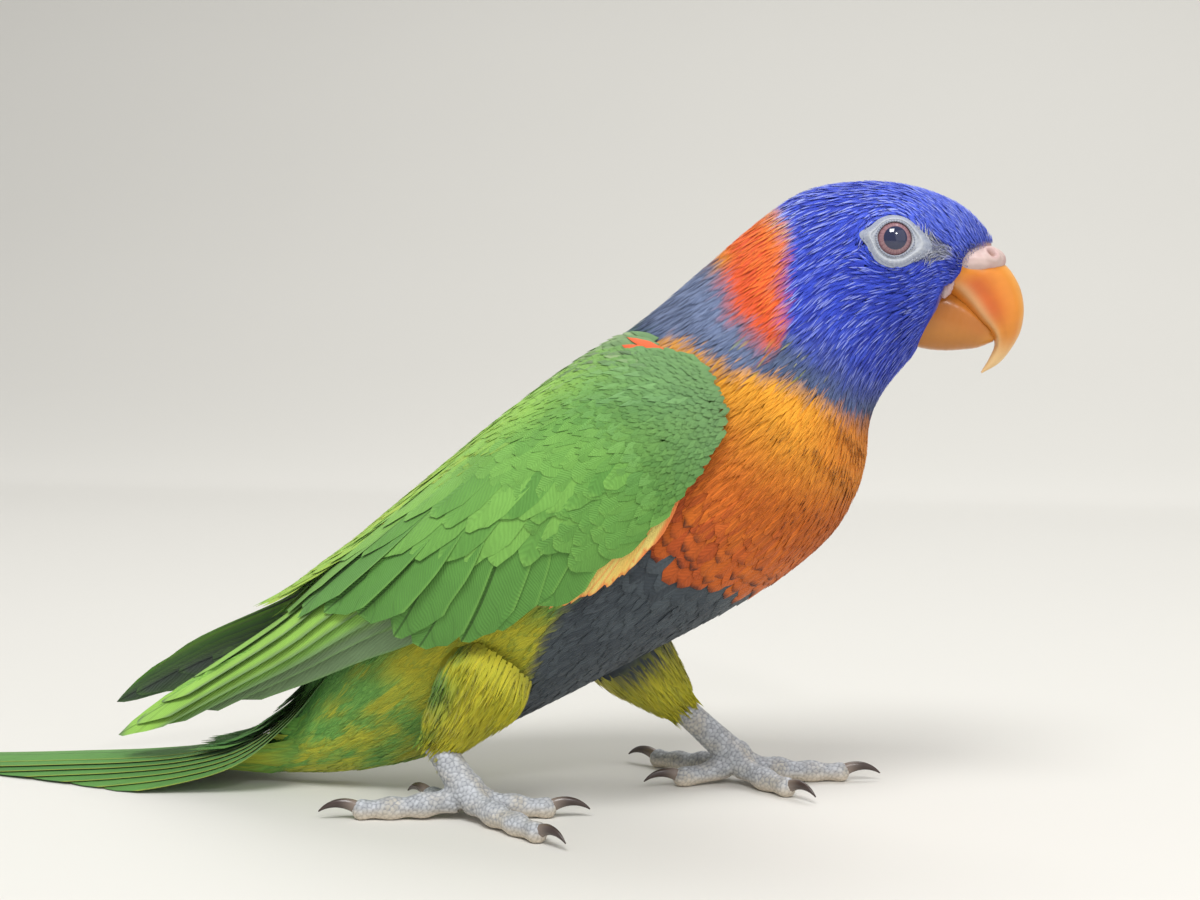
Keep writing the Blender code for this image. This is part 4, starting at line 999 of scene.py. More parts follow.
def makeCoats():
    for number, (name, values) in enumerate(coats.items()):
        first, last = values["stations"]
        a, b = scatterRoots(bodyPoint, (first, last), (-math.pi, math.pi), values["spacing"], 3 + number, (40, 90))
        points = bodyPoint(a, b)
        wing = underWing(points)
        keep = wing < 0.14
        distance, direction, _ = roundEye(points)
        keep &= ~((distance < lidReach(direction) - 0.1) & (np.abs(points[:, 1]) > 6))
        billGap = ((points - np.array(cereForm["centre"])) / (np.array(cereForm["radii"]) + 0.1)) ** 2
        keep &= (billGap.sum(1) > 1) & (pastFace(points) < 0)
        a, b, points = a[keep], b[keep], points[keep]
        count = len(a)
        share = (a - first) / (last - first)
        length = (values["length"][0] + share * (values["length"][1] - values["length"][0])) * dice.uniform(0.85, 1.12, count)
        width = (values["width"][0] + share * (values["width"][1] - values["width"][0])) * dice.uniform(0.85, 1.15, count)
        lores = loral(points) > 0.5
        length, width = np.where(lores, 1.3, length), np.where(lores, 0.3, width)
        yaw = dice.normal(0, 0.08, count)
        lines, normals, spots = layAlong(bodyPoint, a, b, length, 5, yaw=yaw, bend=partRound if last < 7 else None)
        tint, rim = bodyColours(*spots[:, 2].T, lines[:, 2]) if "crisp" in values else coatColours(lines, spots)
        place = np.stack([0.01 + 0.98 * a / 17, 0.01 + 0.98 * (b + math.pi) / (2 * math.pi)], -1)
        vane = {**values["vane"], "stagger": dice.uniform(-0.06, 0.08, count) - 0.45 * ease(wing[keep], -0.3, -0.04)}
        growVanes(name, lines, normals, width, vane, tint, rim, place, values["finish"])


thighCoat = {
    "spacing": 0.85,
    "length": (10.5, 5.0),
    "width": (1.7, 1.2),
    "forward": {"right": 0.2, "left": -0.15},
    "vane": {**hairVane, "lift": (-1.3, 0.1), "ragged": 0.1, "point": 0.8, "bow": 0.1},
}


def thighColours(word, points, normals, share, tone, speck):
    # yellow in front, broken with green behind; the far thigh is slate above and pale behind
    c = plumageColours
    tint = mixed(c["olive"], c["yellow"], 0.35 + 0.65 * tone)
    broken = mixed(c["green"], tint, ease(mottled(points) + speck, 0.35, 0.75))
    tint = mixed(tint, broken, ease(-normals[:, 0], 0.0, 0.6) * (0.9 if word == "right" else 0.3))
    if word == "left":
        tint = mixed(tint, c["cream"], ease(-normals[:, 0], 0.1, 0.7) * (1 - ease(share, 0.5, 0.95)) * 0.7)
        tint = mixed(tint, c["bellyDeep"], ease(normals[:, 0], -0.3, 0.2) * (1 - ease(share + speck, 0.35, 0.6)))
    return tint


def makeThighs():
    for word in sides:
        surface = thighSurface(word)
        a, b = scatterRoots(surface, (-0.25, 0.98), (0, 2 * math.pi), thighCoat["spacing"], 21, (24, 40))
        points = surface(a, b)
        height = onBody(points)[2]
        keep = height > -1.5 + dice.uniform(0, 1, len(a)) ** 2 * 3.0
        a, b, points, height = a[keep], b[keep], points[keep], height[keep]
        count = len(a)
        low = ease(a, 0.3, 1.0)
        length = (thighCoat["length"][0] + low * (thighCoat["length"][1] - thighCoat["length"][0])) * dice.uniform(0.65, 1.2, count)
        width = thighCoat["width"][0] + low * (thighCoat["width"][1] - thighCoat["width"][0])
        yaw = dice.normal(0, 0.12, count) + thighCoat["forward"][word] * (1 - ease(a, 0.2, 0.9))
        lines, normals, spots = layAlong(surface, a, b, length, 5, yaw=yaw, steps=(0.01, 0.02))
        tone, speck = dice.uniform(0, 1, count), dice.normal(0, 0.05, count)
        tint = np.stack([thighColours(word, lines[:, k], normals[:, k], spots[:, k, 0], tone, speck) for k in range(5)], 1)
        place = np.stack([0.25 + 0.6 * a, 0.01 + 0.98 * b / (2 * math.pi)], -1)
        vane = {**thighCoat["vane"], "stagger": dice.uniform(-0.15, 0.1, count) - 0.3 * (1 - ease(height, -1.0, 3.0))}
        growVanes("coatThigh_" + word, lines, normals, width, vane, tint, tint * 0.9, place, bodyPlumage)


# The wing's tiers, from the lower edge to the back: roots and tips run along three points, each (distance, share across)
longVane = {"rows": 20, "columns": 9, "point": 0.16, "power": 2.6, "waist": 0.62, "bow": 0.08, "keel": 0.2, "ragged": 0.01, "roll": 0.09}
covertVane = {"rows": 10, "columns": 9, "point": 0.34, "power": 2.2, "waist": 0.6, "bow": 0.12, "keel": 0.15, "ragged": 0.035, "roll": 0.05}
tiers = {
    "primaries": {
        "count": 7,
        "roots": [(44, 0.82), (58, 0.60), (70, 0.30)],
        "tips": [(133, 0.90), (158, 0.56), (138, 0.06)],
        "width": 10.6,
        "lift": (-2.4, -1.7),
        "stagger": 0.18,
        "loose": (1.6, 0.006),
        "vane": {**longVane, "point": 0.12, "power": 1.6, "outer": 0.8, "inner": plumageColours["darkGrey"], "innerShare": 0.7, "tipFrom": 0.94, "webFrom": [0.0, 0.4, 0.62, 0.85], "rimDark": 0.7},
        "tint": ["greenSoft", "greenBright"],
        "rim": "greenSoft",
        "finish": flightPlumage,
    },
    "secondaries": {
        "count": 11,
        "roots": [(30, 0.80), (50, 0.50), (60, 0.08)],
        "tips": [(52, 0.97), (84, 0.89), (114, 0.04)],
        "width": 12.5,
        "lift": (-1.2, -0.5),
        "stagger": 0.05,
        "loose": (2.6, 0.012),
        "vane": {**longVane, "point": 0.26, "power": 2.0, "ragged": 0.045},
        "tint": ["green", "green"],
        "rim": "greenSoft",
        "finish": flightPlumage,
    },
    "greaterCoverts": {
        "count": 13,
        "roots": [(16, 0.72), (36, 0.52), (58, 0.10)],
        "tips": [(32, 0.87), (60, 0.76), (96, 0.12)],
        "width": 8.6,
        "lift": (-0.8, -0.05),
        "stagger": 0.03,
        "loose": (1.8, 0.012),
        "vane": covertVane,
        "tint": ["green", "greenSoft"],
        "rim": "greenSoft",
        "finish": wingPlumage,
    },
    "innerCoverts": {
        "count": 13,
        "roots": [(14, 0.68), (30, 0.48), (52, 0.10)],
        "tips": [(29, 0.80), (51, 0.67), (84, 0.13)],
        "width": 8.0,
        "lift": (-0.7, 0.1),
        "stagger": 0.03,
        "loose": (1.8, 0.014),
        "vane": covertVane,
        "tint": ["green", "greenSoft"],
        "rim": "greenSoft",
        "finish": wingPlumage,
    },
}


def along3(points, count):
    at, rows = smoothRows(points, 40)
    where = np.linspace(0, 2, count)
    return np.stack([np.interp(where, at, rows[:, k]) for k in range(2)], -1)


def wingPlace(distance, across):
    return np.stack([0.02 + 0.95 * np.clip(distance + 6, 0, 170) / 170, 0.02 + 0.95 * np.clip(across, 0, 1.1) / 1.1], -1)


def wingTint(distance, across, count):
    # bluer at the bend, brighter up the back, and patchy between
    c = plumageColours
    patch = clumps(np.stack([distance, across * 60, 0 * distance], -1), 7.0)
    tint = mixed(c["green"], c["greenSoft"], np.clip(0.45 * dice.uniform(0, 1, count) + 0.45 * patch + 0.2 * (1 - across), 0, 1))
    tint = mixed(tint, c["greenBlue"], 0.5 * (1 - ease(distance + 10 * across, 6, 30)))
    tint = mixed(tint, c["green"] * 0.92, 0.6 * ease(across, 0.45, 0.8) * ease(distance, 18, 40))
    return mixed(tint, c["greenBright"], 0.8 * (1 - ease(across, 0.05, 0.38)) * ease(distance, 8, 30))


def makeWing(word):
    surface = wingSurface(word)
    facing = sides[word]
    c = plumageColours
    for tierName, tier in tiers.items():
        roots, tips = along3(tier["roots"], tier["count"]), along3(tier["tips"], tier["count"])
        count = tier["count"]
        roots = roots + dice.normal(0, 0.4, roots.shape) * tier["loose"]
        tips = tips + dice.uniform(-1, 1, tips.shape) * tier["loose"]
        lines, normals = layBetween(surface, roots, tips, 16, facing)
        tint = mixed(c[tier["tint"][0]], c[tier["tint"][1]], dice.uniform(0, 1, count))
        tint = mixed(tint, c["greenBright"], 0.6 * (1 - ease(tips[:, 1], 0.05, 0.4)))
        rim = mixed(tint, c[tier["rim"]], 0.7 * np.ones(count))
        vane = {**tier["vane"], "lift": tier["lift"], "stagger": tier["stagger"] * np.arange(count)}
        vane["roll"] = vane["roll"] * facing
        vane["hand"] = facing if "inner" in vane else -facing
        if "inner" in vane:
            vane["webFrom"] = np.interp(np.arange(count), (0, 1, 2, count), vane["webFrom"]) + dice.uniform(-0.1, 0.1, count)
            vane["webFrom"] = vane["webFrom"] - (1.1 if word == "left" else 0.0)
        width = tier["width"] * dice.uniform(0.92, 1.08, count)
        growVanes(f"{tierName}_{word}", lines, normals, width, vane, tint, rim, wingPlace(roots[:, 0], roots[:, 1]), tier["finish"])
    makeWingScales(word, surface, facing)


wingScales = {
    "shoulder": {
        "start": [2.4, -0.4, -0.6, -0.6, -0.6, -0.3, 2.0, 8.4],
        "end": [26, 30, 30, 27, 22, 18, 17, 20],
        "spacing": 0.78,
        "length": (2.6, 5.8),
        "width": (1.4, 3.0),
        "vane": {**softVane, "lift": (-0.5, 0.0), "point": 0.6, "power": 1.6, "bow": 0.1, "keel": 0.06},
    },
    "lesserCoverts": {
        "start": [16, 16, 16, 16, 15, 14, 14, 16],
        "end": [46, 46, 44, 38, 30, 25, 24, 26],
        "spacing": 1.7,
        "length": (6.5, 10.0),
        "width": (3.2, 4.8),
        "vane": {**softVane, "rows": 6, "lift": (-0.5, 0.05), "point": 0.55, "power": 1.8, "bow": 0.11, "keel": 0.07},
    },
    "medianCoverts": {
        "start": [10] * 8,
        "end": [60, 60, 57, 49, 41, 35, 33, 34],
        "spacing": 2.6,
        "length": (9.0, 13.0),
        "width": (5.4, 6.8),
        "vane": {**covertVane, "lift": (-0.6, 0.14), "roll": 0.0},
    },
    "scapulars": {
        "start": [6, 6, 6, 6, 0, 0, 0, 0],
        "end": [96, 96, 92, 30, 0, 0, 0, 0],
        "spacing": 1.75,
        "length": (8.0, 18.0),
        "width": (1.9, 4.2),
        "vane": {**covertVane, "rows": 9, "columns": 5, "lift": (-0.8, 0.16), "point": 0.6, "power": 1.5, "roll": 0.0, "ragged": 0.06},
    },
    "across": [-0.36, 0, 0.12, 0.3, 0.52, 0.72, 0.88, 0.97],
    "lowest": {"shoulder": -0.14, "lesserCoverts": -0.05, "medianCoverts": 0.0, "scapulars": -0.36},
}
underWingValues = {"count": 13, "roots": [(14, 0.95), (22, 0.94), (30, 0.92)], "tips": [(29, 1.035), (39, 1.05), (51, 1.02)], "width": 3.2}


def makeWingScales(word, surface, facing):
    c = plumageColours
    for number, name in enumerate(("medianCoverts", "lesserCoverts", "shoulder", "scapulars")):
        v = wingScales[name]
        a, b = scatterRoots(surface, (-2.0, 96), (wingScales["lowest"][name], 0.97), v["spacing"], 31 + number, (80, 60))
        end = np.interp(b, wingScales["across"], v["end"])
        keep = (a < end) & (a > np.interp(b, wingScales["across"], v["start"]))
        if name == "medianCoverts":
            keep &= a > end - 14
        a, b = a[keep], b[keep]
        count = len(a)
        share = np.clip(a / 60, 0, 1)
        length = (v["length"][0] + share * (v["length"][1] - v["length"][0])) * dice.uniform(0.85, 1.15, count)
        width = (v["width"][0] + share * (v["width"][1] - v["width"][0])) * dice.uniform(0.9, 1.1, count)
        rows = 10 if name in ("medianCoverts", "scapulars") else 6
        lines, normals, spots = layAlong(surface, a, b, length, rows, facing, dice.normal(0, 0.10, count), steps=(0.5, 0.01))
        tint = wingTint(a, b, count)
        rim = mixed(tint, c["greenSoft"], 0.5 * np.ones(count))
        if name == "scapulars":
            streaky = (1 - ease(a, 16, 34)) * (1 - ease(b, -0.04, 0.2))
            tint = mixed(tint, mixed(c["mantleDark"], c["mantlePale"], dice.uniform(0, 1, count)), streaky * dice.uniform(0.4, 1, count))
            tint = mixed(tint, c["yellow"], 0.3 * dice.uniform(0, 1, count) * ease(a, 20, 60))
            rim = mixed(tint, c["yellow"], 0.5 * dice.uniform(0, 1, count) * ease(a, 12, 40))
            fleck = np.hypot((a - 8.0) / 1.8, (b + 0.15) / 0.05) < 1
            tint, rim = mixed(tint, c["collar"], fleck * 0.9), mixed(rim, c["collar"], fleck * 0.9)
        vane = {**v["vane"], "stagger": 0.1 * (1 - ease(a, 0, 7)) * (name == "shoulder")}
        growVanes(f"{name}_{word}", lines, normals, width, vane, tint, rim, wingPlace(a, b), wingPlumage)
    v = underWingValues
    roots, tips = along3(v["roots"], v["count"]), along3(v["tips"], v["count"])
    tips = tips + dice.uniform(-1, 1, tips.shape) * (1.5, 0.006)
    lines, normals = layBetween(surface, roots, tips, 12, facing)
    tint = mixed(c["paleYellow"], c["breast"], 0.3 * dice.uniform(0, 1, v["count"]))
    vane = {**covertVane, "lift": (-1.8, -1.2), "stagger": 0.04 * np.arange(v["count"]), "roll": 0.05 * facing}
    vane = {**vane, "hand": facing, "inner": c["collar"], "innerShare": 0.75, "webFrom": 0.35, "tipFrom": 2.0, "rimDark": 1.0}
    growVanes("underwing_" + word, lines, normals, np.full(v["count"], v["width"]), vane, tint, tint, wingPlace(roots[:, 0], roots[:, 1]), wingPlumage)


tailValues = {
    "lengths": (124.0, 112.0, 100.0, 88.0, 77.0, 67.0),
    "rootSpread": 0.9,
    "tipSpread": 2.5,
    "step": 0.5,
    "width": 11.0,
    "vane": {**longVane, "rows": 26, "lift": (0.0, 0.0), "point": 0.14, "power": 2.2, "roll": 0.0},
}


def makeTail():
    c = plumageColours
    roots, tips, stagger = [], [], []
    for pair, length in enumerate(tailValues["lengths"]):
        for side in sides.values():
            roots.append((6.0, side * (0.8 + pair * tailValues["rootSpread"])))
            tips.append((length, side * (1.6 + pair * tailValues["tipSpread"])))
            stagger.append(-(pair + 0.45 * (side < 0)) * tailValues["step"])
    roots, tips = np.array(roots), np.array(tips)
    lines, normals = layBetween(tailSurface, roots, tips, 40, 1, (0.5, 0.1))
    count = len(roots)
    tint = mixed(c["green"], c["greenDeep"], dice.uniform(0.1, 0.9, count))
    rim = np.tile(mixed(c["yellow"], c["green"], 0.5), (count, 1))
    vane = {**tailValues["vane"], "stagger": np.array(stagger)}
    place = np.stack([0.1 + 0.8 * np.arange(count) / count, np.full(count, 0.5)], -1)
    tail = growVanes("tailFeathers", lines, normals, np.full(count, tailValues["width"]), vane, tint, rim, place, flightPlumage)
    restOnFloor(tail)
    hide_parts("tail")
    a, b = scatterRoots(tailSurface, (4, 34), (-7, 7), 2.2, 51, (20, 12))
    count = len(a)
    length = np.interp(a, [4, 34], [12, 15]) * dice.uniform(0.85, 1.15, count)
    lines, normals, spots = layAlong(tailSurface, a, b, length, 8, 1, dice.normal(0, 0.08, count), steps=(0.5, 0.1))
    tint = mixed(c["green"], c["greenDeep"], dice.uniform(0, 1, count))
    vane = {**wingScales["scapulars"]["vane"], "lift": (-0.4, 1.3)}
    place = np.stack([0.1 + 0.8 * a / 40, 0.5 + b / 20], -1)
    growVanes("tailCoverts", lines, normals, np.full(count, 4.4), vane, tint, mixed(tint, c["greenBright"], 0.4 * np.ones(count)), place, wingPlumage)


ventValues = {
    "rows": [(15.2, 30.0), (15.9, 42.0), (16.5, 52.0)],
    "count": 13,
    "from": 88.0,
    "spread": 5.5,
    "below": 2.0,
    "width": 5.4,
    "vane": {**softVane, "rows": 9, "lift": (-0.5, 0.0), "point": 0.6, "ragged": 0.06},
}


def makeVent():
    # longer feathers from the rump's end to the underside of the tail
    v = ventValues
    lines, normals, stations, turns = [], [], [], []
    for station, distance in v["rows"]:
        turn = np.radians(np.linspace(v["from"], 360 - v["from"], v["count"])) + dice.normal(0, 0.06, v["count"])
        root, before = bodyPoint(station, turn), bodyPoint(station - 0.5, turn)
        way = unit(root - before)
        tip = tailSurface(np.full(v["count"], distance) + dice.uniform(-4, 4, v["count"]), v["spread"] * np.sin(turn))
        tip[:, 2] -= v["below"] * (0.4 - 0.6 * np.cos(turn))
        reach = np.linalg.norm(tip - root, axis=1, keepdims=True)
        f = np.linspace(0, 1, 10)[:, None]
        line = np.stack([(1 - f) ** 2 * r + 2 * f * (1 - f) * (r + w * 0.4 * d) + f**2 * e for r, w, d, e in zip(root, way, reach, tip)])
        out = np.stack([0.3 * np.ones_like(turn), np.sin(turn), np.cos(turn)], -1)
        along = unit(np.gradient(line, axis=1))
        lines.append(line)
        normals.append(unit(out[:, None] - along * (along * out[:, None]).sum(-1, keepdims=True)))
        stations.append(np.full(v["count"], station))
        turns.append(turn)
    lines, normals = np.concatenate(lines), np.concatenate(normals)
    station, turn = np.concatenate(stations), np.concatenate(turns)
    count = len(lines)
    tint, rim = zip(*(bodyColours(station, turn, lines[:, k]) for k in range(0, 10, 3)))
    place = np.stack([0.01 + 0.98 * station / 17, 0.01 + 0.98 * (turn % (2 * math.pi)) / (2 * math.pi)], -1)
    growVanes("ventCoverts", lines, normals, v["width"] * dice.uniform(0.85, 1.1, count), v["vane"], np.stack(tint, 1), np.stack(rim, 1), place, bodyPlumage)


def restOnFloor(obj):
    # nothing reaches under the floor that the feet stand on
    corners = cornersOf(obj.data)
    corners[:, 2] = np.maximum(corners[:, 2], 0.0)
    obj.data.vertices.foreach_set("co", corners.astype(np.float32).ravel())
    obj.data.update()


billForm = {
    "upper": [
        (106.0, 117.6, 98.5, 109.4, 7.0, 0.0),
        (114.2, 114.6, 103.6, 108.0, 6.6, 0.0),
        (117.9, 110.4, 106.6, 105.4, 5.6, 0.0),
        (119.3, 105.4, 109.6, 102.4, 4.9, 0.0),
        (118.8, 100.6, 112.6, 100.2, 3.7, 0.0),
        (117.0, 96.8, 113.8, 97.8, 2.2, 0.0),
        (114.6, 93.8, 112.8, 94.9, 1.1, 0.0),
        (111.4, 91.8, 111.2, 92.1, 0.25, 0.0),
    ],
    "lower": [
        (98.0, 109.5, 95.0, 98.2, 6.0, 0.0),
        (103.4, 110.0, 99.6, 96.8, 5.8, 0.0),
        (107.6, 108.0, 103.8, 96.4, 5.2, 0.0),
        (110.6, 105.2, 107.4, 96.6, 4.5, 0.0),
        (112.8, 102.4, 110.4, 97.0, 3.2, 0.0),
        (114.2, 100.0, 113.5, 98.2, 1.6, 0.0),
    ],
    "fullness": 0.9,
    "ridge": 0.45,
    "orange": paint(214, 132, 42),
    "yellow": paint(226, 158, 66),
    "red": paint(202, 96, 32),
    "horn": paint(222, 188, 134),
    "under": paint(182, 116, 44),
    "underDark": paint(168, 96, 38),
}


def makeBill():
    v = billForm
    for name, rowCount, around in (("upper", 110, 80), ("lower", 70, 64)):
        form = smoothRows(v[name])
        last = len(v[name]) - 1
        station = last * np.linspace(0, 1, rowCount) ** 0.9
        turn = np.linspace(0, 2 * math.pi, around, endpoint=False)
        s, t = np.meshgrid(station, turn, indexing="ij")
        side = np.abs((np.degrees(t) + 180) % 360 - 180)
        rings = formPoint(form, s, t, 0.0, v["fullness"])
        centre = rings.mean(1, keepdims=True)
        out = unit(rings - centre)
        scale = np.linalg.norm(rings - centre, axis=2)
        if name == "upper":
            ledge = np.exp(-(((side - 119) / 12) ** 2)) * ease(s, 0.3, 1.5) * (1 - ease(s, 4.5, 6.5))
            groove = np.exp(-(((side - 92) / 9) ** 2)) * ease(s, 0.5, 2) * (1 - ease(s, 4.0, 6.0))
            crest = np.exp(-((side / 16) ** 2)) * (1 - ease(s, 5.5, 7))
            relief = v["ridge"] * (0.7 * ledge - 0.25 * groove + 0.5 * crest)
            middle = np.exp(-(((side - 98) / 30) ** 2)) * ease(s, 0.6, 1.5) * (1 - ease(s, 2.6, 4.2))
            tint = mixed(v["orange"], v["red"], middle)
            tint = mixed(tint, v["yellow"], (1 - ease(side, 8, 46)) * 0.85)
            tint = mixed(tint, v["horn"], ledge * 0.5)
            tint = mixed(tint, v["horn"], ease(s, 4.0, 6.0) * 0.9)
        else:
            ledge = np.exp(-(((side - 60) / 10) ** 2))
            relief = v["ridge"] * 0.6 * ledge
            tint = mixed(v["under"], v["underDark"], ease(side, 30, 60) * (1 - ease(side, 80, 120)) * 0.6)
            tint = mixed(tint, v["yellow"], ease(s, 3.5, 5) * 0.4)
        growth = 0.012 * np.sin(s * 16 + 1.2 * np.sin(side / 30)) * ease(side, 20, 50)
        rings = rings + out * ((relief + growth) * np.minimum(scale / 3, 1))[..., None]
        points, faces = tube(rings)
        tint = np.concatenate([tint.reshape(-1, 3), tint[0, :1], tint[-1, :1]])
        bill = solidFrom("bill_" + name + "Horn", points, faces, hornMaterial, tint)
        finish(bill, "bill_" + name)
    print("bill: two halves")


cereForm = {
    "centre": (109.4, 0.0, 114.2),
    "radii": (6.6, 7.1, 3.7),
    "pitch": -6.0,
    "nostril": (113.0, 4.8, 115.9),
    "hole": 0.9,
    "rim": 0.3,
    "depth": 1.6,
    "skin": paint(200, 175, 168),
    "pink": paint(188, 152, 149),
    "hollow": paint(168, 126, 104),
}


def makeCere():
    v = cereForm
    turn, rise = np.meshgrid(np.linspace(0, 2 * math.pi, 140, endpoint=False), np.linspace(0.02, math.pi - 0.02, 90), indexing="xy")
    ball = np.stack([np.sin(rise) * np.cos(turn), np.cos(rise), np.sin(rise) * np.sin(turn)], -1)
    flat = unit(ball / np.array(v["radii"]))
    points = ball * np.array(v["radii"])
    pitch = math.radians(v["pitch"])
    turned = np.array([[math.cos(pitch), 0, math.sin(pitch)], [0, 1, 0], [-math.sin(pitch), 0, math.cos(pitch)]])
    points, normal = points @ turned.T + np.array(v["centre"]), flat @ turned.T
    tint = np.tile(v["skin"], (*points.shape[:2], 1))
    folds = 0.03 * np.sin(points[..., 0] * 1.9 + points[..., 2] * 1.2 + 1.3 * np.sin(points[..., 1])) + 0.015 * np.sin(points[..., 2] * 5.0 + points[..., 1] * 2)
    tint = mixed(tint, v["pink"], ease(clumps(points, 1.6), 0.5, 1.0) * 0.7)
    low = np.exp(-(((points[..., 2] - v["centre"][2] - 0.15 * (points[..., 0] - v["centre"][0]) + 2.2) / 0.3) ** 2))
    groove = np.exp(-((points[..., 1] / 0.7) ** 2))
    lift = folds - 0.3 * groove - 0.22 * low
    for side in sides.values():
        nostril = np.array(v["nostril"]) * (1, side, 1)
        away = np.linalg.norm(points - nostril, axis=2)
        hollow = 1 - ease(away, v["hole"] * 0.55, v["hole"] * 1.25)
        lift = lift - v["depth"] * hollow + v["rim"] * np.exp(-(((away - v["hole"] * 1.75) / 0.55) ** 2))
        # painted shade: the nostril's pit takes the darker hollow colour
        tint = mixed(tint, v["hollow"], ease(hollow, 0.25, 0.9))
        tint = mixed(tint, v["pink"], np.exp(-(((away - v["hole"] * 1.3) / 0.3) ** 2)) * 0.7)
    points = points + normal * lift[..., None]
    corners, faces = tube(points)
    tint = np.concatenate([tint.reshape(-1, 3), tint[0, :1], tint[-1, :1]])
    finish(solidFrom("cereSkin", corners, faces, cereMaterial, tint), "cere")
    print("cere: two nostrils")


eyeColours = {
    "pupil": paint(20, 28, 66),
    "iris": paint(128, 88, 96),
    "irisPale": paint(168, 128, 134),
    "edge": paint(52, 34, 40),
    "pupilRadius": 2.3,
    "irisRadius": 3.3,
    "lid": paint(142, 148, 164),
    "lidPale": paint(178, 182, 188),
    "lidDark": paint(104, 92, 98),
    "proud": 0.5,
}


def eyeMaterial():
    material, tree, shader = shaderOf("eye")
    wires = Wires(tree)
    wires.put(shader.inputs["Base Color"], wires.attribute("tint"))
    shader.inputs["Roughness"].default_value = 0.06
    shader.inputs["Specular IOR Level"].default_value = 0.15
    shader.inputs["Coat Weight"].default_value = 1.0
    shader.inputs["Coat Roughness"].default_value = 0.02
    shader.inputs["Coat IOR"].default_value = 1.65
    wires.bump(shader, wires.noise(900.0), 0.003 * mm)
    return material


def makeEyes():
    glass = eyeMaterial()
    v = eyeColours
    for word, side in sides.items():
        centre, look, back, up = eyeFrame(side)
        away = np.concatenate([np.linspace(0.01, 1.1, 60), np.linspace(1.13, math.pi - 0.02, 40)])
        turn = np.linspace(0, 2 * math.pi, 96, endpoint=False)
        a, t = np.meshgrid(away, turn, indexing="ij")
        radius = eyeForm["ball"] + 0.12 * np.exp(-((a / 0.6) ** 4))
        ring = np.sin(a) * np.cos(t)
        rise = np.sin(a) * np.sin(t)
        points = centre - look * eyeSunk + radius[..., None] * (ring[..., None] * back + rise[..., None] * up + np.cos(a)[..., None] * look)
        flat = eyeForm["ball"] * np.sin(a) + 10 * (a > math.pi / 2)
        rays = 0.5 + 0.5 * np.sin(t * 37 + 2 * np.sin(t * 5)) * np.sin(t * 11 + 1)
        iris = mixed(v["iris"], v["irisPale"], rays * 0.7)
        tint = mixed(np.broadcast_to(v["pupil"], iris.shape), iris, ease(flat, v["pupilRadius"] - 0.06, v["pupilRadius"] + 0.06))
        tint = mixed(tint, v["edge"], ease(flat, v["irisRadius"] - 0.15, v["irisRadius"] + 0.05))
        corners, faces = tube(points)
        tint = np.concatenate([tint.reshape(-1, 3), tint[0, :1], tint[-1, :1]])
        finish(solidFrom("eyeBall_" + word, corners, faces, glass, tint), "eye_" + word)
        makeLids(word, side)
    print("eyes: balls, lids and their beads")


def makeLids(word, side):
    v = eyeColours
    centre, look, back, up = eyeFrame(side)
    turn = np.linspace(0, 2 * math.pi, 144, endpoint=False)
    across = np.concatenate([np.linspace(0, 1.06, 34), [1.08, 0.9, 0.6, 0.3, 0.1, 0.02]])
    under = np.concatenate([np.zeros(34), [0.7, 1.3, 1.3, 1.3, 1.4, 0.9]])
    f, t = np.meshgrid(across, turn, indexing="ij")
    inner = eyeForm["opening"] - 0.12
    outer = lidReach(t)
    radius = inner + f * (outer - inner)
    plane = centre + radius[..., None] * (np.cos(t)[..., None] * back + np.sin(t)[..., None] * up)
    rest = plane
    for _ in range(3):
        height = onBody(rest.reshape(-1, 3))[2].reshape(f.shape)
        rest = rest - look * height[..., None]
    seat = (rest - plane) @ look
    for _ in range(6):
        seat = (np.roll(seat, 1, axis=1) + seat + np.roll(seat, -1, axis=1)) / 3
    seat = seat * ease(f, 0.1, 0.8)
    lip = 0.28 * np.exp(-(((f - 0.10) / 0.10) ** 2)) - 0.45 * (1 - ease(f, 0.0, 0.08))
    fold = 0.14 * np.exp(-(((f - 0.52) / 0.09) ** 2)) - 0.16 * np.exp(-(((f - 0.34) / 0.07) ** 2))
    wrinkle = 0.022 * np.sin(t * 37 + 3 * np.sin(t * 3) + f * 9 + 2 * np.sin(f * 7 + t)) * ease(f, 0.15, 0.4) + 0.012 * np.sin(f * 40 + 2 * np.sin(t * 5))
    lift = v["proud"] * (1 - ease(f, 0.55, 1.05)) + lip + fold + wrinkle - under[:, None]
    points = plane + look * (seat + lift)[..., None]
    # painted light and shade: the lid is paler on the ridges of its wrinkles and folds and darker in their grooves
    tint = mixed(np.broadcast_to(v["lidPale"], (*f.shape, 3)), v["lid"], np.clip(ease(f, 0.25, 0.9) - wrinkle * 8 - fold * 2, 0, 1))
    tint = mixed(tint, v["lidDark"], 1 - ease(f, 0.02, 0.1))
    points = points.transpose(1, 0, 2)
    corners = points.reshape(-1, 3)
    index = np.arange(len(corners)).reshape(points.shape[:2])
    onward, inward = np.roll(index, -1, axis=0), np.roll(index, -1, axis=1)
    both = np.roll(onward, -1, axis=1)
    faces = np.stack([index, onward, both, inward], -1).reshape(-1, 4).tolist()
    lids = solidFrom("lidRing_" + word, corners, faces, bareMaterial, tint.transpose(1, 0, 2).reshape(-1, 3))
    finish(lids, "lids_" + word)
    beads = beadRing(word, points[:, 5] + look * 0.02)
    finish(beads)


beadValues = {"count": 46, "radius": 0.24, "seed": 5}


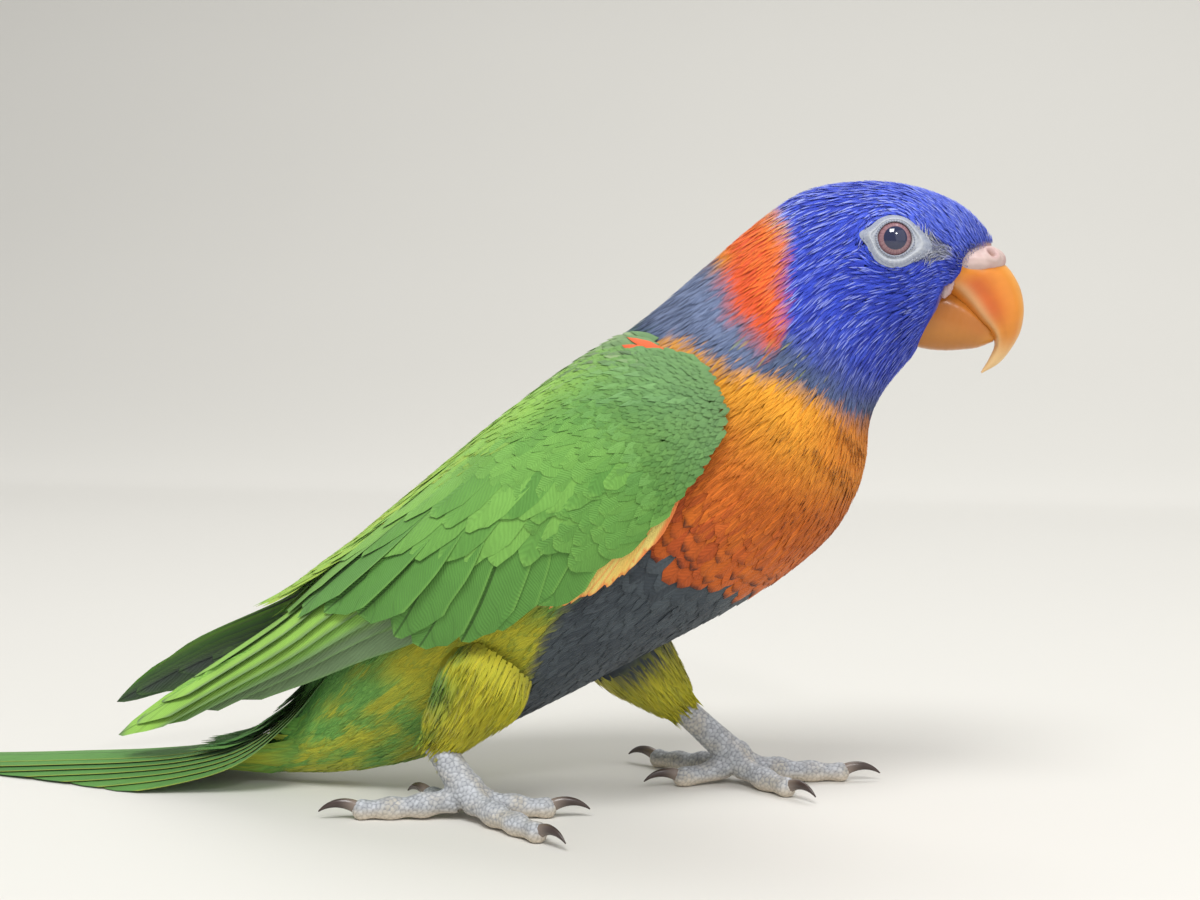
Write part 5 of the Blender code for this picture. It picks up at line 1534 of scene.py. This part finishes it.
def beadTree():
    # beads along a closed line, each a little different in size
    tree = bpy.data.node_groups.new("lid beads", "GeometryNodeTree")
    tree.interface.new_socket("Line", in_out="INPUT", socket_type="NodeSocketGeometry")
    tree.interface.new_socket("Count", in_out="INPUT", socket_type="NodeSocketInt").default_value = 40
    tree.interface.new_socket("Radius", in_out="INPUT", socket_type="NodeSocketFloat").default_value = 0.0002
    tree.interface.new_socket("Material", in_out="INPUT", socket_type="NodeSocketMaterial")
    tree.interface.new_socket("Beads", in_out="OUTPUT", socket_type="NodeSocketGeometry")
    wires = Wires(tree)
    start, end = wires.node("NodeGroupInput"), wires.node("NodeGroupOutput")
    curve = wires.node("GeometryNodeMeshToCurve")
    wires.put(curve.inputs["Mesh"], start.outputs["Line"])
    spread = wires.node("GeometryNodeResampleCurve")
    wires.put(spread.inputs["Curve"], curve.outputs[0])
    wires.put(spread.inputs["Count"], start.outputs["Count"])
    bead = wires.node("GeometryNodeMeshIcoSphere")
    bead.inputs["Subdivisions"].default_value = 2
    wires.put(bead.inputs["Radius"], start.outputs["Radius"])
    size = wires.node("FunctionNodeRandomValue", data_type="FLOAT")
    size.inputs[2].default_value, size.inputs[3].default_value = 0.75, 1.2
    size.inputs["Seed"].default_value = beadValues["seed"]
    place = wires.node("GeometryNodeInstanceOnPoints")
    wires.put(place.inputs["Points"], spread.outputs[0])
    wires.put(place.inputs["Instance"], bead.outputs[0])
    wires.put(place.inputs["Scale"], size.outputs[1])
    whole = wires.node("GeometryNodeRealizeInstances")
    wires.put(whole.inputs[0], place.outputs[0])
    finishNode = wires.node("GeometryNodeSetMaterial")
    wires.put(finishNode.inputs["Geometry"], whole.outputs[0])
    wires.put(finishNode.inputs["Material"], start.outputs["Material"])
    wires.put(end.inputs[0], finishNode.outputs[0])
    return tree


def beadRing(word, line):
    mesh = bpy.data.meshes.new("lidBeads_" + word)
    edges = [(i, (i + 1) % len(line)) for i in range(len(line))]
    mesh.from_pydata(toWorld(line).tolist(), edges, [])
    obj = bpy.data.objects.new("lidBeads_" + word, mesh)
    scene.collection.objects.link(obj)
    tree = bpy.data.node_groups.get("lid beads") or beadTree()
    nodes = obj.modifiers.new("beads", "NODES")
    nodes.node_group = tree
    for item in tree.interface.items_tree:
        if item.name == "Count":
            nodes[item.identifier] = beadValues["count"]
        elif item.name == "Radius":
            nodes[item.identifier] = beadValues["radius"] * mm
        elif item.name == "Material":
            nodes[item.identifier] = bareMaterial
    settled(obj)
    tintVertices(obj.data, eyeColours["lid"])
    obj.data.shade_smooth()
    return obj


gapeForm = {
    # x, z and radius along the corner of the mouth
    "line": [(105.7, 110.4, 0.3), (105.1, 109.8, 0.75), (104.5, 109.0, 1.05), (104.0, 108.0, 0.95), (103.6, 107.0, 0.3)],
    "out": 6.3,
    "skin": paint(184, 160, 156),
}


def makeGape():
    v = gapeForm
    for word, side in sides.items():
        rows = smoothRows(v["line"], 8)[1]
        line = np.stack([rows[:, 0], np.full(len(rows), side * v["out"]), rows[:, 1]], -1)
        points, faces = sweep(line, rows[:, 2], 24, 0.9)
        points = points + 0.05 * np.sin(points[:, [2, 0, 1]] * 7.0)
        tint = mixed(np.tile(v["skin"], (len(points), 1)), cereForm["pink"], clumps(points, 0.6))
        finish(solidFrom("gapeSkin_" + word, points, faces, cereMaterial, tint))


bristleVane = {"rows": 5, "columns": 3, "point": 0.9, "power": 1.0, "waist": 1.0, "bow": 0.6, "keel": 0.14, "lift": (-0.2, 0.4), "ragged": 0.0}


def makeBristles():
    # short grey lashes on the bare skin between eye and cere, and stubble behind the nostrils
    a, b = scatterRoots(bodyPoint, (0.2, 4.4), (-1.9, 1.9), 0.42, 61, (60, 120))
    points = bodyPoint(a, b)
    nearCere = (((points - np.array(cereForm["centre"])) / np.array(cereForm["radii"])) ** 2).sum(1)
    stubble = (nearCere < 1.7) & (nearCere > 1.0) & (np.abs(b) < 1.5) & (points[:, 2] > 113.2)
    keep = (loral(points) > 0.35) | stubble
    a, b, points, stubble = a[keep], b[keep], points[keep], stubble[keep]
    count = len(a)
    length = dice.uniform(1.5, 2.6, count) * np.where(stubble, 0.5, 1.0)
    lines, normals, spots = layAlong(bodyPoint, a, b, length, 4, yaw=dice.normal(0, 0.35, count), bend=partRound)
    tint = mixed(plumageColours["grey"], plumageColours["slateDeep"], 0.6 * dice.uniform(0, 1, count) ** 3)
    tint = mixed(tint, plumageColours["hood"], stubble * dice.uniform(0, 1, count))
    place = np.stack([0.01 + 0.98 * a / 17, 0.01 + 0.98 * (b + math.pi) / (2 * math.pi)], -1)
    growVanes("loralBristles", lines, normals, np.full(count, 0.17), bristleVane, tint, tint, place, headPlumage)


footForm = {
    "right": {"inner_front": 14, "outer_front": -38, "outer_back": -166, "inner_back": 142},
    "left": {"inner_front": 40, "outer_front": -14, "outer_back": -152, "inner_back": 150},
    "lengths": {"inner_front": 15.0, "outer_front": 22.0, "outer_back": 20.0, "inner_back": 11.0},
    "pads": {"inner_front": 2, "outer_front": 3, "outer_back": 3, "inner_back": 1},
    "radius": 2.65,
    "tipRadius": 2.0,
    "hub": 3.9,
    "voxel": 0.3,
    "scale": 0.85,
    "relief": 0.17,
    "skin": paint(182, 185, 190),
    "skinDark": paint(138, 141, 146),
    "skinWarm": paint(188, 178, 158),
    "sole": paint(212, 200, 182),
    "clawLength": 9.0,
    "clawRadius": 1.35,
    "clawTurn": 75.0,
    "claw": paint(66, 54, 50),
    "clawPale": paint(138, 124, 114),
}


def sweep(line, radii, around=24, squash=1.0):
    line = np.asarray(line, float)
    way = unit(np.gradient(line, axis=0))
    side = np.cross(way, (0, 0, 1.0))
    side = unit(np.where(np.linalg.norm(side, axis=1, keepdims=True) > 0.05, side, (0, 1.0, 0)))
    up = np.cross(side, way)
    turn = np.linspace(0, 2 * math.pi, around, endpoint=False)
    spread = np.cos(turn)[None, :, None] * side[:, None] * squash + np.sin(turn)[None, :, None] * up[:, None]
    return tube(line[:, None] + np.asarray(radii)[:, None, None] * spread)


def toeLine(word, toe):
    v = footForm
    length, pads = v["lengths"][toe], v["pads"][toe]
    heading = math.radians(v[word][toe])
    out = np.array([math.cos(heading), -sides[word] * math.sin(heading), 0.0])
    joint = np.array(legForm[word]["joint"])
    f = np.append(np.linspace(0, 1, 12 * pads), 1 + np.array([0.5, 0.9, 1.15]) / length)
    base = v["radius"] + f * (v["tipRadius"] - v["radius"])
    radii = np.where(f < 1, base * (1 + 0.12 * np.cos(2 * math.pi * pads * f)), base * np.interp((f - 1) * length, [0, 0.5, 0.9, 1.15], [0.98, 0.85, 0.6, 0.3]))
    height = np.where(f < 1, base * 0.90 + 1.6 * np.clip(1 - f, 0, 1) ** 3, base * 0.9)
    return joint * (1, 1, 0) + out * (2.4 + f * length)[:, None] + np.array([0, 0, 1.0]) * height[:, None], radii, out


def makeFeet():
    v = footForm
    for word in sides:
        ankle, joint = (np.array(legForm[word][key]) for key in ("ankle", "joint"))
        shank = smoothRows(np.linspace(ankle, joint, 4), 8)[1]
        widths = smoothRows(np.array(legForm["shank"])[:, None], 8)[1][:, 0]
        parts = [sweep(shank, widths)]
        hub = np.linspace(-0.98, 1.0, 13)
        parts.append(sweep(joint + v["hub"] * hub[:, None] * (0, 0, 1.0), v["hub"] * np.sqrt(1.0001 - hub**2)))
        for toe in v["lengths"]:
            line, radii, out = toeLine(word, toe)
            parts.append(sweep(line, radii))
            makeClaw(word, toe, line[-1], out)
        foot = solidFrom("foot_" + word, *joined(parts), bareMaterial)
        remesh = foot.modifiers.new("one skin", "REMESH")
        remesh.mode = "VOXEL"
        remesh.voxel_size = v["voxel"] * mm
        soften = foot.modifiers.new("soften", "SMOOTH")
        soften.factor, soften.iterations = 0.5, 5
        settled(foot)
        scaleFoot(foot)
        nodes = ["shank_" + word] + [f"toe_{word}_{toe}" for toe in v["lengths"]]
        finish(foot, *nodes)
        print(f"foot_{word}: {len(foot.data.polygons)} faces")


def scaleFoot(foot):
    # granular scales: each is a low dome round its own seed, with a groove between neighbours
    v = footForm
    scatter = foot.modifiers.new("scales", "NODES")
    scatter.node_group = bpy.data.node_groups.get("feather roots") or rootTree()
    for item in scatter.node_group.interface.items_tree:
        if item.name == "Spacing":
            scatter[item.identifier] = v["scale"] * mm
        elif item.name == "Most":
            scatter[item.identifier] = 6.0 / (v["scale"] * mm) ** 2
        elif item.name == "Seed":
            scatter[item.identifier] = 7
    seedsMesh = bpy.data.meshes.new_from_object(foot.evaluated_get(bpy.context.evaluated_depsgraph_get()))
    foot.modifiers.clear()
    seeds = kdtree.KDTree(len(seedsMesh.vertices))
    for number, vertex in enumerate(seedsMesh.vertices):
        seeds.insert(vertex.co, number)
    seeds.balance()
    corners = cornersOf(foot.data)
    normals = np.zeros(len(corners) * 3, np.float32)
    foot.data.vertices.foreach_get("normal", normals)
    normals = normals.reshape(-1, 3)
    near = np.array([[hit[2] for hit in seeds.find_n(Vector(corner), 2)] for corner in corners]) / mm
    which = np.array([seeds.find(Vector(corner))[1] for corner in corners])
    dome = ease(near[:, 1] - near[:, 0], 0.0, 0.34)
    low = corners[:, 2] / mm
    relief = v["relief"] * (0.4 + 0.6 * ease(low, 0.8, 3.0))
    corners = corners + normals * ((dome - 0.55) * relief)[:, None] * mm
    corners[:, 2] = np.maximum(corners[:, 2], 0)
    foot.data.vertices.foreach_set("co", corners.astype(np.float32).ravel())
    shade = np.random.default_rng(3).uniform(0.8, 1.1, len(seedsMesh.vertices))[which]
    warm = 0.6 * clumps(corners / mm, 1.7) ** 2
    tint = mixed(v["skinDark"], mixed(v["skin"], v["skinWarm"], warm), dome) * shade[:, None]
    tint = mixed(v["sole"] * (0.75 + 0.25 * dome[:, None]), tint, ease(low, 0.4, 3.0))
    tintVertices(foot.data, tint)
    foot.data.shade_smooth()


def makeClaw(word, toe, tip, out):
    v = footForm
    f = np.linspace(0, 1, 40)
    bend = v["clawLength"] / math.radians(v["clawTurn"])
    tilt = math.radians(34)
    angle = tilt - f * math.radians(v["clawTurn"])
    forward, upward = bend * (math.sin(tilt) - np.sin(angle)), bend * (np.cos(angle) - math.cos(tilt))
    start = tip - out * 1.4 + np.array([0, 0, 0.3])
    line = start + out * forward[:, None] + np.array([0, 0, 1.0]) * upward[:, None]
    radii = v["clawRadius"] * (1 - 0.90 * f**1.5)
    points, faces = sweep(line, radii, 20, 0.82)
    points[:, 2] = np.maximum(points[:, 2], 0)
    tint = mixed(v["clawPale"], v["claw"], ease(np.repeat(f, 20), 0.0, 0.55))
    tint = np.concatenate([tint, tint[:1], tint[-1:]])
    finish(solidFrom(f"clawHorn_{word}_{toe}", points, faces, clawMaterial, tint), f"claw_{word}_{toe}")


studio = {
    "angle": 12.0,
    "rise": 4.0,
    "distance": 400.0,
    "target": (32.0, 0.0, 75.0),
    "lens": 56.4,
    "floor": paint(214, 212, 206),
    "world": 0.5,
    "key": 20.0,
    "fill": 6.0,
    "rim": 6.0,
    "glint": 0.6,
}


def makeStudio():
    v = studio
    rows = [(-1.6, 0.0), (0.35, 0.0), (0.7, 0.02), (1.05, 0.12), (1.35, 0.36), (1.55, 0.8), (1.62, 2.2)]
    profile = smoothRows(rows, 8)[1]
    points = np.array([[x, y, max(z, 0.0)] for y, z in profile for x in (-2.5, 2.5)])
    points[:, 2] -= 0.0001
    mesh = bpy.data.meshes.new("floor")
    count = len(profile)
    mesh.from_pydata(points.tolist(), [], [(2 * i, 2 * i + 1, 2 * i + 3, 2 * i + 2) for i in range(count - 1)])
    mesh.shade_smooth()
    floor = bpy.data.objects.new("floor", mesh)
    scene.collection.objects.link(floor)
    material, tree, shader = shaderOf("floor")
    wires = Wires(tree)
    tone = wires.blend(wires.noise(3.0), v["floor"], v["floor"] * 0.97)
    wires.put(shader.inputs["Base Color"], tone)
    shader.inputs["Roughness"].default_value = 0.8
    mesh.materials.append(material)
    world = bpy.data.worlds.new("studio")
    world.use_nodes = True
    world.node_tree.nodes["Background"].inputs[0].default_value = (1.0, 1.0, 1.0, 1)
    world.node_tree.nodes["Background"].inputs[1].default_value = v["world"]
    scene.world = world
    target = Vector(toWorld(v["target"]))
    a, e = math.radians(v["angle"]), math.radians(v["rise"])
    back = Vector((math.sin(a) * math.cos(e), -math.cos(a) * math.cos(e), math.sin(e)))
    across = Vector((math.cos(a), math.sin(a), 0))
    for name, place, size, power in (
        ("key", back * 0.85 - across * 0.2 + Vector((0, 0, 1.35)), 0.65, v["key"]),
        ("fill", back * 1.1 + across * 1.0 + Vector((0, 0, 0.5)), 1.9, v["fill"]),
        ("rim", back * -0.6 + across * 0.3 + Vector((0, 0, 1.2)), 0.8, v["rim"]),
        ("glint", back * 0.5 + across * 0.2 + Vector((0, 0, 0.36)), 0.05, v["glint"]),
    ):
        lamp = bpy.data.lights.new(name, "AREA")
        lamp.size, lamp.energy = size, power
        obj = bpy.data.objects.new(name, lamp)
        obj.location = target + place
        obj.rotation_euler = (-place).to_track_quat("-Z", "Y").to_euler()
        scene.collection.objects.link(obj)
    camera = bpy.data.cameras.new("camera")
    camera.lens, camera.sensor_width = v["lens"], 36.0
    camera.clip_start = 0.01
    eye = bpy.data.objects.new("camera", camera)
    eye.location = target + back * v["distance"] * mm
    eye.rotation_euler = (-back).to_track_quat("-Z", "Y").to_euler()
    scene.collection.objects.link(eye)
    scene.camera = eye
    scene.view_settings.view_transform = "Standard"


makeStudio()
makeSkin()
makeCoats()
makeThighs()
for wingWord in sides:
    makeWing(wingWord)
    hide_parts("wing_" + wingWord)
makeTail()
makeVent()
makeBill()
makeCere()
makeEyes()
makeGape()
makeBristles()
makeFeet()
